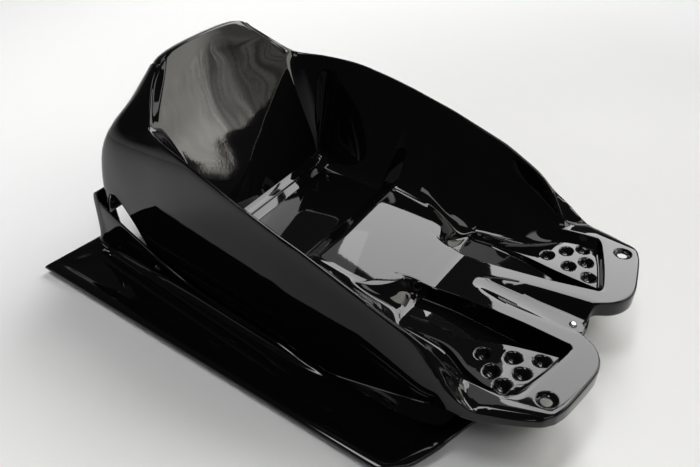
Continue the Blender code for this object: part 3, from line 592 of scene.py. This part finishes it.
def split(tree, vector):
    """The x, y and z of a vector."""
    node = tree.nodes.new("ShaderNodeSeparateXYZ")
    tree.links.new(vector, node.inputs[0])
    return tuple(node.outputs)


def new_group(name, inputs, outputs, sort="ShaderNodeTree"):
    group = bpy.data.node_groups.new(name, sort)
    for way, sockets in (("INPUT", inputs), ("OUTPUT", outputs)):
        for label, kind in sockets:
            group.interface.new_socket(label, in_out=way, socket_type="NodeSocket" + kind)
    return group, group.nodes.new("NodeGroupInput").outputs, group.nodes.new("NodeGroupOutput")


drawn_sheet, given, end = new_group("drawn sheet", [("Place", "Vector"), ("Waviness", "Float")],
                                    [("Height", "Float")])
wide = noise(drawn_sheet, given["Place"], 5.5, 1.0, 0.4)
peel = noise(drawn_sheet, given["Place"], 260.0, 1.0, 0.5)
wave = times(drawn_sheet, wide, given["Waviness"])
height = calc(drawn_sheet, "MULTIPLY_ADD", peel, 0.0000035, wave)
drawn_sheet.links.new(height, end.inputs["Height"])

fine_scuffs, given, end = new_group(
    "fine scuffs", [("Place", "Vector"), ("Amount", "Float"), ("Colour", "Color"), ("Roughness", "Float")],
    [("Colour", "Color"), ("Roughness", "Float")])
cloud = noise(fine_scuffs, given["Place"], 14.0, 4.0, 0.6)
stretched = make(fine_scuffs, "ShaderNodeMapping",
                 {"Vector": given["Place"], "Scale": (420.0, 16.0, 90.0), "Rotation": (0.0, 0.0, 0.35)})
hair = noise(fine_scuffs, stretched, 1.0, 2.0, 0.7)
hair_mask = times(fine_scuffs, calc(fine_scuffs, "GREATER_THAN", hair, 0.72),
                  times(fine_scuffs, cloud, given["Amount"]))
rough = calc(fine_scuffs, "MULTIPLY_ADD", cloud, 0.02, given["Roughness"])
rough = calc(fine_scuffs, "MULTIPLY_ADD", hair_mask, 0.2, rough)
lift = fine_scuffs.nodes.new("ShaderNodeMix")
lift.data_type = "RGBA"
wire(fine_scuffs, lift, {0: hair_mask, 6: given["Colour"], 7: (0.03, 0.03, 0.031, 1)})
fine_scuffs.links.new(lift.outputs[2], end.inputs["Colour"])
fine_scuffs.links.new(rough, end.inputs["Roughness"])


def marked_material(name, colour, roughness, scuff):
    """A material with fine scuffs: returns it, its shader and the place on the piece."""
    mat, tree = new_material(name)
    shader = tree.nodes["Principled BSDF"]
    where = tree.nodes.new("ShaderNodeTexCoord").outputs["Object"]
    marks = tree.nodes.new("ShaderNodeGroup")
    marks.node_tree = fine_scuffs
    wire(tree, marks, {"Place": where, "Amount": scuff, "Colour": (*colour, 1), "Roughness": roughness})
    wire(tree, shader, {"Base Color": marks.outputs["Colour"], "Roughness": marks.outputs["Roughness"]})
    return mat, shader, where


def add_relief(tree, shader, height, strength, distance):
    bump = make(tree, "ShaderNodeBump", {"Height": height, "Strength": strength, "Distance": distance})
    tree.links.new(bump, shader.inputs["Normal"])


def sheet_plastic(name, colour, roughness, waviness, scuff):
    """Gloss black formed sheet: faint waviness of the draw, fine orange peel and light scuffs."""
    mat, shader, where = marked_material(name, colour, roughness, scuff)
    tree = mat.node_tree
    draw = tree.nodes.new("ShaderNodeGroup")
    draw.node_tree = drawn_sheet
    add_relief(tree, shader, wire(tree, draw, {"Place": where, "Waviness": waviness}), 1.0, 1.0)
    wire(tree, shader, {"IOR": 1.5, "Specular IOR Level": 0.3})
    return mat


shell_plastic = sheet_plastic("shell gloss black", (0.0022, 0.0022, 0.0024), 0.015, 0.0006, 0.4)
skin = smooth_half(shell_mesh(), "seat shell")
press_details(skin)
seat_shell = sheet_object("seat_shell_skin", skin, shell_plastic)
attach(seat_shell, "root")
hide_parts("seat_shell")


# Base. A second vacuum formed sheet of black plastic under the seat: wings with runner grooves at both
# sides, a folded collar that stands along the shell's legs, corner posts at the rear and a turned lip.
RUNNER_DEEP = 5.0
OPENING_Y = 325.0
OPENING_X = 165.0
POST_TOP = 95.0
POST_DEEP = 12.0
REAR_EDGE = (733.0, 745.0)
LIP_DOWN = -5.0
PLATFORM = WELL_DEEP - SHEET - FIT
COLLAR_REAR_TALL = (87, 82)      # inner and outer top of the collar where it meets the post
COLLAR_REAR_X = (189.0, 192.5, 195.0)   # its inner top, outer top and foot there
HUMP_RUN = 14.0          # length of the slope beside the platform under the pads
COLLAR_FOOT_X = [(254, 216.5), (297, 216), (391, 211), (494, 205), (607, 200), (726, 194)]
SHELL_EDGE_X = [
    (210, 208), (254, 208), (330, 206.2), (390, 203.2), (450, 199.8), (518, 196.4), (572, 193.3),
    (601, 191.8), (627, 190.6), (657, 189.6), (683, 187.6), (703, 187)]
COLLAR_TALL = [
    (254, 0), (300, 5), (330, 11), (391, 13), (500, 15), (560, 28), (600, 43), (619, 50), (642, 58),
    (664, 66), (690, 77), (709, 87)]
GROOVE_IN_X = [(140, 224), (300, 236), (411, 227), (522, 219), (642, 210), (725, 203)]
GROOVE_OUT_X = [(140, 230), (300, 240), (424, 231), (515, 226), (608, 220), (719, 212)]
LINE_X = [(140, 238), (300, 251), (412, 244), (502, 238), (594, 232), (687, 226)]
HUMP_FOOT_X = [
    (99, 196), (124, 201), (154, 207), (185, 205.5), (210, 203), (254, 199), (300, 190), (330, 178)]
HUMP_TOP = [(225, PLATFORM), (300, PAN_FLOOR)]
POST_FRONT = SHELL_REAR + FIT + 0.4
PAN_COLUMNS = 23
# front edge of the base and the line where its recess begins
UNDER_NOSE = NOTCH_FLOOR - SHEET - FIT
PAN_EDGE = [
    (0, -5, UNDER_NOSE - 0.2), (20, -5, UNDER_NOSE - 0.2), (56, 4, 39), (100, 20, 28), (140, 43, 20),
    (168, 57, 14.5), (188, 67.5, 10.5), (196, 70.5, 9), (200, 72, 8.3), (204, 73.5, 7.6), (208, 75, 7),
    (214, 77.5, 6), (217, 78.6, 5.5), (220, 79.6, 5), (223, 80.6, 4.6), (226, 81.6, 4.2), (230, 83.2, 3.6),
    (234, 85, 3.2), (262, 98, 0.5), (268, 104, 0), (281, 119, 0), (286, 125, -1.5),
    (286.5, 124.6, LIP_DOWN)]
PAN_INNER = [
    (0, 20, UNDER_NOSE + 0.9), (20, 20, UNDER_NOSE + 0.9), (46, 26, PLATFORM), (98, 43, 29), (136, 64, 28),
    (162, 80, 26)]
PAN_INNER += [(x, along([(194, 90), (201, 94.5), (228, 108)], x), PAN_FLOOR)
              for x in (194, 201, 204, 207, 210, 214, 216, 218, 220, 222, 225, 228)]
PAN_INNER += [
    (268, 127, PAN_FLOOR), (272, 125, 0), (286, 129, 0), (290, 133, -1.5), (290.5, 133, LIP_DOWN)]


def pan_front_rows():
    rows = []
    for t, sink in ((-0.01, 4.5), (0.0, 1.2), (0.12, 0.0), (0.78, 0.0), (1.0, 0.0)):
        row = []
        for j in range(PAN_COLUMNS):
            e, n = PAN_EDGE[j], PAN_INNER[j]
            z = blend(e[2], n[2], max(t, 0)) if j < 6 or t == 1.0 else e[2]
            if j < PAN_COLUMNS - 1:
                z -= sink
            row.append((blend(e[0], n[0], t), blend(e[1], n[1], t), z))
        rows.append(row)
    return rows


def pan_row(y):
    foot = along(COLLAR_FOOT_X, y)
    edge = along(SHELL_EDGE_X, y)
    hump_foot = along(HUMP_FOOT_X, y)
    top = along(HUMP_TOP, y)
    slope = HUMP_RUN * (top - PAN_FLOOR) / (PLATFORM - PAN_FLOOR)
    collar = PAN_FLOOR + along(COLLAR_TALL, y)
    deep = along([(300, 0), (350, RUNNER_DEEP)], y)
    groove_in, groove_out, line = (along(c, y) for c in (GROOVE_IN_X, GROOVE_OUT_X, LINE_X))
    middle = along([(20, UNDER_NOSE + 0.9), (150, PLATFORM)], y) if y < 225 else top
    xs = [0, 20, 44, 110, min(150 + 0.18 * max(y - 225, 0), OPENING_X), hump_foot - slope - 2,
          hump_foot, edge + 0.6, edge + 1.6, foot - 1.5, foot, groove_in,
          blend(groove_in, groove_out, 0.3), blend(groove_in, groove_out, 0.7), groove_out,
          line - 2.5, line, line + 2.5, 268, 272, 286, 290, 290.5]
    zs = [middle, middle, top, top, top, top, PAN_FLOOR, PAN_FLOOR, collar, collar - 0.5, PAN_FLOOR,
          PAN_FLOOR, PAN_FLOOR - deep, PAN_FLOOR - deep, PAN_FLOOR, PAN_FLOOR,
          PAN_FLOOR - 0.4 * deep, PAN_FLOOR, PAN_FLOOR, 0, 0, -1.2, LIP_DOWN]
    return [(x, y, z) for x, z in zip(xs, zs)]


def pan_rear_rows():
    """Rows behind the seat: corner posts inside, ramp and lip outside."""
    last = pan_row(690)
    rows = []
    for k in range(7):
        row = []
        for j, (x, _, z) in enumerate(last):
            rear = blend(*REAR_EDGE, (x - 185) / 104)
            ramp = blend(694, 715, (x - 200) / 68)
            lip = blend(720, 735, (x - 200) / 68)
            if j < 10:
                post_rear = POST_FRONT + POST_DEEP
                y = (POST_FRONT, POST_FRONT + 1.2, post_rear, post_rear + 6, rear - 2, rear,
                     rear + 0.5)[k]
                high = POST_TOP - (5 if j == 9 else 0)
                low = PAN_FLOOR
                if j >= 8:
                    low += COLLAR_REAR_TALL[j - 8]
                    x = COLLAR_REAR_X[j - 8]
                z = (low, high, high - 5, 0, 0, -1.2, LIP_DOWN)[k]
            elif j == 10:
                y = (707, 713, 721, 728, rear - 2, rear, rear + 0.5)[k]
                z = (PAN_FLOOR, -6, -2.5, 0, 0, -1.2, LIP_DOWN)[k]
                x = COLLAR_REAR_X[2]
            else:
                y = (ramp, blend(ramp, lip, 0.5), lip, lip + 3, rear - 2, rear, rear + 0.5)[k]
                z = (PAN_FLOOR, 0.5 * PAN_FLOOR, -0.4, 0, 0, -1.2, LIP_DOWN)[k]
                if j > 18 and k < 5:
                    z = (0, 0, -1.2, LIP_DOWN)[j - 19]
                if j == 22:
                    z = LIP_DOWN
            row.append((x, y, z))
        rows.append(row)
    return rows


def pan_mesh():
    rows = pan_front_rows()
    rows += [pan_row(y) for y in (142, 165, 190, 212, 232, 254, 276, 300, OPENING_Y, 360, 391,
                                  430, 470, 510, 550, 585, 619, 642, 664, 690)]
    rows += pan_rear_rows()
    bm = bmesh.new()
    thin = bm.verts.layers.deform.new()
    grid = []
    for row in rows:
        line = []
        for j, point in enumerate(row):
            vert = bm.verts.new(place(point))
            if 7 <= j <= 10 and point[1] > 250:
                vert[thin][0] = 1.0
            line.append(vert)
        grid.append(line)
    for i, (low, high) in enumerate(zip(grid[:-1], grid[1:])):
        for j in range(PAN_COLUMNS - 1):
            if j < 4 and rows[i][j][1] > OPENING_Y - 1:
                continue
            bm.faces.new((low[j], low[j + 1], high[j + 1], high[j]))
    crease = bm.edges.layers.float.new("crease_edge")
    count = len(rows)
    folds = [(grid[i][j], grid[i + 1][j], 0.4) for j in (8, 9) for i in range(11, count - 7)]
    folds += [(grid[i][j], grid[i][j + 1], 0.4) for i in (count - 6, count - 5) for j in range(0, 9)]
    folds += [(grid[i][j], grid[i + 1][j], 0.3) for j in (11, 14, 15, 17, 18) for i in range(6, count - 7)]
    for one, two, sharp in folds:
        edge = bm.edges.get((one, two))
        if edge:
            edge[crease] = sharp
    loose = [v for v in bm.verts if not v.link_faces]
    bmesh.ops.delete(bm, geom=loose, context="VERTS")
    return bm


base_plastic = sheet_plastic("base gloss black", (0.0026, 0.0026, 0.0029), 0.05, 0.0010, 0.6)
base_skin = smooth_half(pan_mesh(), "base", folded=True)
base_piece = sheet_object("base_skin", base_skin, base_plastic, folded=True)
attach(base_piece, "root")
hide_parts("base_pan")


# Rivets. Five blind rivets hold shell and base together: a bright aluminium one in the nose, and four with a
# black coat at the sides and in the rear posts. Their domed heads sit outside, with the broken mandrel sunk
# in the middle. Behind the sheets each ends in its drawn bulb.
RIVET_HEAD_R = 5.5
RIVET_HEAD_H = 2.6
RIVET_R = 2.4
BULB_MORE = 1.1          # the bulb is this much thicker than the shank, on each side
BULB_HALF = 1.8
NOSE_RIVET_Y = 12.0
SIDE_RIVET = (585.0, 9.0)            # y and z
REAR_RIVET = (173.0, 72.0)           # x and z
NOSE_GRIP = 2 * SHEET + 3 * FIT + 0.3
SIDE_GRIP = 13.0 + FIT
REAR_GRIP = POST_DEEP + 8.6 + FIT
REAR_FACE = POST_FRONT + POST_DEEP + 1.6 + FIT


def step(tree, value, low, high, before, after):
    """Smooth change from one level to another as the value passes from low to high."""
    node = tree.nodes.new("ShaderNodeMapRange")
    node.interpolation_type = "SMOOTHSTEP"
    return wire(tree, node, {"Value": value, "From Min": low, "From Max": high,
                             "To Min": before, "To Max": after})


def rivet_tree():
    """Sets one blind rivet on each point, turned along the point's outward arrow."""
    sizes = {"Head Radius": RIVET_HEAD_R, "Head Height": RIVET_HEAD_H,
             "Shank Radius": RIVET_R, "Grip": NOSE_GRIP}
    inputs = [("Geometry", "Geometry"), *((label, "Float") for label in sizes), ("Finish", "Material")]
    tree, given, end = new_group("blind rivets", inputs, [("Geometry", "Geometry")], "GeometryNodeTree")
    for label, amount in sizes.items():
        tree.interface.items_tree[label].default_value = amount * MM

    def ball(segments, rings):
        return make(tree, "GeometryNodeMeshUVSphere", {"Segments": segments, "Rings": rings, "Radius": 1.0})

    def combine(x, y, z):
        return make(tree, "ShaderNodeCombineXYZ", {"X": x, "Y": y, "Z": z})

    # head: a ball pressed flat below, with a thin flange, a dome and a round pit for the mandrel
    x, y, z = split(tree, tree.nodes.new("GeometryNodeInputPosition").outputs[0])
    out = calc(tree, "SQRT", calc(tree, "MULTIPLY_ADD", x, x, times(tree, y, y)))
    dome = step(tree, out, 0.45, 0.98, 0.72, 0.0)
    flange = step(tree, out, 0.9, 1.0, 0.28, 0.06)
    pit = step(tree, out, 0.16, 0.24, 0.34, 0.0)
    high = calc(tree, "SUBTRACT", calc(tree, "ADD", dome, flange), pit)
    high = times(tree, times(tree, high, given["Head Height"]), calc(tree, "GREATER_THAN", z, -0.0001))
    wide_x, wide_y = (times(tree, way, given["Head Radius"]) for way in (x, y))
    head = make(tree, "GeometryNodeSetPosition",
                {"Geometry": ball(40, 40), "Position": combine(wide_x, wide_y, high)})
    shank = make(tree, "GeometryNodeMeshCylinder",
                 {"Vertices": 24, "Radius": given["Shank Radius"], "Depth": given["Grip"]})
    shank_low = times(tree, given["Grip"], -0.5)
    shank = make(tree, "GeometryNodeTransform",
                 {"Geometry": shank, "Translation": combine(0.0, 0.0, shank_low)})
    bulb_r = calc(tree, "ADD", given["Shank Radius"], BULB_MORE * MM)
    bulb_low = calc(tree, "SUBTRACT", -BULB_HALF * MM, given["Grip"])
    bulb = make(tree, "GeometryNodeTransform",
                {"Geometry": ball(24, 12), "Scale": combine(bulb_r, bulb_r, BULB_HALF * MM),
                 "Translation": combine(0.0, 0.0, bulb_low)})
    whole = tree.nodes.new("GeometryNodeJoinGeometry")
    for part in (head, shank, bulb):
        wire(tree, whole, {0: part})

    arrow = tree.nodes.new("GeometryNodeInputNamedAttribute")
    arrow.data_type = "FLOAT_VECTOR"
    turn = tree.nodes.new("FunctionNodeAlignRotationToVector")
    turn.axis = "Z"
    wire(tree, turn, {"Vector": wire(tree, arrow, {"Name": "outward"})})
    rivets = make(tree, "GeometryNodeInstanceOnPoints",
                  {"Points": given["Geometry"], "Instance": whole.outputs[0], "Rotation": turn.outputs[0]})
    rivets = make(tree, "GeometryNodeRealizeInstances", {0: rivets})
    rivets = make(tree, "GeometryNodeSetMaterial", {"Geometry": rivets, "Material": given["Finish"]})
    tree.links.new(rivets, end.inputs[0])
    return tree


def set_rivets(name, seats, grip, finish, *nodes):
    """seats: middle of the face under each head and the way the head points."""
    mesh = bpy.data.meshes.new(name + "_seats")
    mesh.from_pydata([tuple(seat) for seat, _ in seats], [], [])
    arrows = mesh.attributes.new("outward", "FLOAT_VECTOR", "POINT")
    for k, (_, way) in enumerate(seats):
        arrows.data[k].vector = way
    holder = add_object(name + "_seats", mesh)
    setting = holder.modifiers.new("rivets", "NODES")
    setting.node_group = blind_rivets
    for label, value in (("Grip", grip * MM), ("Finish", finish)):
        setting[blind_rivets.interface.items_tree[label].identifier] = value
    whole = finished_mesh(holder)
    whole.shade_smooth()
    whole.set_sharp_from_angle(angle=math.radians(50))
    piece = add_object(name, whole)
    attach(piece, "root")
    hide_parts(*nodes)


def rivet_finish(name, colour, metallic, roughness, worn):
    """Pressed metal or its coat: fine grain and light scratches."""
    mat, shader, where = marked_material(name, colour, roughness, worn)
    shader.inputs["Metallic"].default_value = metallic
    add_relief(mat.node_tree, shader, noise(mat.node_tree, where, 2200.0, 2.0, 0.6), 0.3, 0.00005)
    return mat


blind_rivets = rivet_tree()
bright = rivet_finish("bright aluminium rivet", (0.42, 0.42, 0.43), 1.0, 0.3, 1.0)
coated = rivet_finish("black coated rivet", (0.01, 0.01, 0.011), 0.0, 0.25, 0.6)
nose_up = Vector((0, -NOTCH_RISE, 1)).normalized()
nose_seat = place((0, NOSE_RIVET_Y, notch_floor(NOSE_RIVET_Y))) + nose_up * FIT * MM
set_rivets("nose_rivet_skin", [(nose_seat, nose_up)], NOSE_GRIP, bright, "nose_rivet")
side_x = along(COLLAR_FOOT_X, SIDE_RIVET[0]) - 0.45 + FIT
side_seats = [(place((side * side_x, *SIDE_RIVET)), Vector((side, 0, 0))) for side in (-1, 1)]
set_rivets("side_rivets_skin", side_seats, SIDE_GRIP, coated, "left_side_rivet", "right_side_rivet")
rear_seats = [(place((side * REAR_RIVET[0], REAR_FACE, REAR_RIVET[1])), Vector((0, 1, 0)))
              for side in (-1, 1)]
set_rivets("rear_rivets_skin", rear_seats, REAR_GRIP, coated, "left_rear_rivet", "right_rear_rivet")


# Floor and room of a plain studio. The floor is a pale sheet of paper, a little greyer where the side light
# falls strongest, so that all of it looks evenly pale.
LIGHT_SPOT = (0.65, -0.2, 0.0)
ROOM_LOW, ROOM_HIGH = 0.8, 0.06      # how bright the room is along the floor and above
DEGREES = 57.2958                    # in one radian
FLOOR_R = 4.5


def between(tree, value, rise, fall):
    """1 between the end of the rise and the start of the fall, and 0 outside them."""
    return times(tree, step(tree, value, *rise, 0.0, 1.0), step(tree, value, *fall, 1.0, 0.0))


floor_bm = bmesh.new()
bmesh.ops.create_circle(floor_bm, cap_ends=True, segments=96, radius=FLOOR_R)
floor = object_from(floor_bm, "floor")
floor_paint, tree = new_material("pale floor")
where = tree.nodes.new("ShaderNodeTexCoord").outputs["Object"]
away = tree.nodes.new("ShaderNodeVectorMath")
away.operation = "DISTANCE"
wire(tree, away, {0: where, 1: LIGHT_SPOT})
# painted shade: the paper is greyer near the spot where the side light falls strongest, so the lit floor
# looks even
grey = step(tree, away.outputs["Value"], 0.1, 1.5, 0.54, 0.92)
grey = calc(tree, "MULTIPLY_ADD", noise(tree, where, 30.0, 3.0, 0.5), 0.012, grey)
paper_with_painted_shade = make(tree, "ShaderNodeCombineColor", {"Red": grey, "Green": grey, "Blue": grey})
wire(tree, tree.nodes["Principled BSDF"], {"Base Color": paper_with_painted_shade, "Roughness": 0.9, "Specular IOR Level": 0.1})
floor.data.materials.append(floor_paint)

world = bpy.data.worlds.new("studio")
bpy.context.scene.world = world
world.use_nodes = True
tree = world.node_tree
x, y, z = split(tree, tree.nodes.new("ShaderNodeTexCoord").outputs["Generated"])
# the room is bright along the floor and dark above, and dark in front of the sled and behind the camera
turn = times(tree, calc(tree, "ARCTAN2", y, x), DEGREES)
height = times(tree, calc(tree, "ARCSINE", z), DEGREES)
room = step(tree, height, 0.0, 26.0, ROOM_LOW, ROOM_HIGH)
in_front = between(tree, turn, (-82.0, -70.0), (-34.0, -24.0))
behind = step(tree, calc(tree, "ABSOLUTE", turn), 140.0, 158.0, 0.0, 1.0)
dark = times(tree, calc(tree, "MAXIMUM", in_front, behind), between(tree, height, (-1.0, 1.0), (22.0, 30.0)))
level = calc(tree, "ADD", times(tree, dark, ROOM_HIGH), times(tree, calc(tree, "SUBTRACT", 1.0, dark), room))
# two soft lights high up draw the thin pale line along the rim: left, right, low and high edge, brightness
for left, right, low, high, glow in ((44.0, 128.0, 69.0, 81.0, 12.0), (-160.0, -84.0, 56.0, 72.0, 4.0)):
    sides = between(tree, turn, (left, left + 6.0), (right - 6.0, right))
    ends = between(tree, height, (low, low + 2.0), (high - 2.0, high))
    level = calc(tree, "MULTIPLY_ADD", times(tree, sides, ends), glow, level)
wire(tree, tree.nodes["Background"], {"Color": (1, 1, 1, 1), "Strength": level})


# Cloth. A glowing card in the shape of a pale folded cloth hangs in front of the sled and is mirrored in the
# glossy backrest; its glow is painted light that stands in for a cloth lit by the room.
# Its lower hem is uneven. It's part of the studio, not of the sled. Drawn in metres, across and up.
CLOTH_OUTLINE = [
    (-0.130, 0.284), (-0.108, 0.309), (-0.093, 0.324), (-0.080, 0.338), (-0.067, 0.355), (-0.057, 0.371),
    (-0.048, 0.381), (-0.036, 0.385), (-0.026, 0.384), (-0.020, 0.381), (-0.013, 0.385), (-0.004, 0.392),
    (0.006, 0.395), (0.016, 0.399), (0.030, 0.412), (0.040, 0.424), (0.060, 0.430), (0.110, 0.438),
    (0.300, 0.450), (0.500, 0.800), (0.500, 1.600), (-0.500, 1.600), (-0.450, 0.800), (-0.300, 0.560),
    (-0.170, 0.465), (-0.110, 0.440), (-0.088, 0.415), (-0.084, 0.384), (-0.089, 0.357), (-0.092, 0.342),
    (-0.097, 0.329), (-0.105, 0.317), (-0.116, 0.301)]
CLOTH_WAY = math.radians(-50.5)
CLOTH_DISTANCE = 1.3
BACKREST = Vector((0.0, 0.208, 0.0))
HEM = 0.385

cloth_bm = bmesh.new()
cloth_bm.faces.new([cloth_bm.verts.new((u, v, 0)) for u, v in CLOTH_OUTLINE])
cloth = object_from(cloth_bm, "cloth")
towards = Vector((math.cos(CLOTH_WAY), math.sin(CLOTH_WAY), 0))
across_cloth = Vector((-math.sin(CLOTH_WAY), math.cos(CLOTH_WAY), 0))
upright = Vector((0, 0, 1))
pose = Matrix((across_cloth, upright, across_cloth.cross(upright))).transposed().to_4x4()
pose.translation = BACKREST + towards * CLOTH_DISTANCE
cloth.matrix_world = pose
glowing_cloth_look, tree = new_material("glowing cloth with painted light")
tree.nodes.remove(tree.nodes["Principled BSDF"])
where = tree.nodes.new("ShaderNodeTexCoord").outputs["Object"]
x, y, _ = split(tree, where)
# the folds fan out upwards, with painted shade between them: lean is the place across the cloth, as seen at
# the hem
above = calc(tree, "SUBTRACT", y, HEM)
spread = calc(tree, "MAXIMUM", calc(tree, "MULTIPLY_ADD", above, 7.8, 1.0), 0.3)
lean = calc(tree, "DIVIDE", calc(tree, "MULTIPLY_ADD", above, -0.615, x), spread)
wander = noise(tree, where, 11.0, 1.0, 0.4)
lean = calc(tree, "MULTIPLY_ADD", calc(tree, "SUBTRACT", wander, 0.5), 0.022, lean)
fold_place = make(tree, "ShaderNodeCombineXYZ", {"X": lean, "Y": times(tree, y, 0.02)})
broad = step(tree, noise(tree, fold_place, 95.0, 1.0, 0.5), 0.34, 0.62, 0.4, 1.35)
fine = step(tree, noise(tree, fold_place, 420.0, 2.0, 0.6), 0.38, 0.62, 0.45, 1.6)
share = times(tree, step(tree, lean, -0.062, -0.012, 0.15, 1.0), step(tree, above, 0.13, 0.22, 1.0, 0.0))
# painted shade: the glow is dimmed between the folds
folds = calc(tree, "ADD", times(tree, times(tree, broad, fine), share), calc(tree, "SUBTRACT", 1.0, share))
# painted light: the left side and the hem glow the brightest
painted_bright_side = times(tree, step(tree, lean, -0.06, 0.004, 5.4, 1.0), step(tree, above, 0.0, 0.1, 1.5, 1.0))
glow = make(tree, "ShaderNodeEmission",
            {"Color": (1.0, 0.97, 0.9, 1), "Strength": times(tree, folds, painted_bright_side)})
tree.links.new(glow, tree.nodes["Material Output"].inputs["Surface"])
cloth.data.materials.append(glowing_cloth_look)
cloth.visible_camera = False


# Lamps. Three soft upright windows on the far right light the sled and draw the pale patches on its deck,
# pads, seat and the strips at the foot of the backrest. Their edges are given as angles seen from the sled.
SLED_SPOT = Vector((0.0, -0.2, 0.08))
WINDOW_AWAY = 2.2


def window(name, azimuth, low, high, left, right, radiance):
    """An upright soft light; radiance is how bright it looks."""
    a = math.radians(azimuth)
    facing = Vector((math.cos(a), math.sin(a), 0))
    along_wall = Vector((-math.sin(a), math.cos(a), 0))
    ends = [WINDOW_AWAY * math.tan(math.radians(angle - azimuth)) for angle in (left, right)]
    heights = [WINDOW_AWAY * math.tan(math.radians(angle)) for angle in (low, high)]
    lamp = bpy.data.lights.new(name, "AREA")
    lamp.shape = "RECTANGLE"
    lamp.size = ends[1] - ends[0]
    lamp.size_y = heights[1] - heights[0]
    lamp.energy = radiance * math.pi * lamp.size * lamp.size_y
    panel = add_object(name, lamp)
    panel.location = (SLED_SPOT + facing * WINDOW_AWAY + along_wall * sum(ends) / 2
                      + Vector((0, 0, sum(heights) / 2)))
    panel.rotation_euler = facing.to_track_quat("Z", "Y").to_euler()
    panel.visible_camera = False


window("side window", 0.0, 29.0, 52.0, -22.0, 26.0, 9.3)
window("side window top", 8.0, 52.0, 59.0, -8.0, 27.0, 9.5)
window("side glow", 32.0, 46.0, 60.0, 22.5, 45.0, 1.5)


# Camera. It stands where the photo was taken: front left of the sled, looking down at it. Its place, aim
# and focal length were found by matching points of the sled to the photo.
CAMERA_AT = (-0.6284, -0.4130, 0.6831)
CAMERA_TURN, CAMERA_RISE = math.radians(-55.93), math.radians(39.49)
FOCAL_LENGTH = 632 / 700             # as a share of the width of the picture
SENSOR = 36.0                        # mm

view = bpy.data.cameras.new("camera")
camera = add_object("camera", view)
back = Vector((math.sin(CAMERA_TURN) * math.cos(CAMERA_RISE), -math.cos(CAMERA_TURN) * math.cos(CAMERA_RISE),
               math.sin(CAMERA_RISE)))
right = Vector((math.cos(CAMERA_TURN), math.sin(CAMERA_TURN), 0))
pose = Matrix((right, back.cross(right), back)).transposed().to_4x4()
pose.translation = CAMERA_AT
camera.matrix_world = pose
view.sensor_width = SENSOR
view.lens = FOCAL_LENGTH * SENSOR
view.clip_start = 0.01
bpy.context.scene.camera = camera
bpy.context.scene.view_settings.view_transform = "Standard"

bpy.context.view_layer.update()
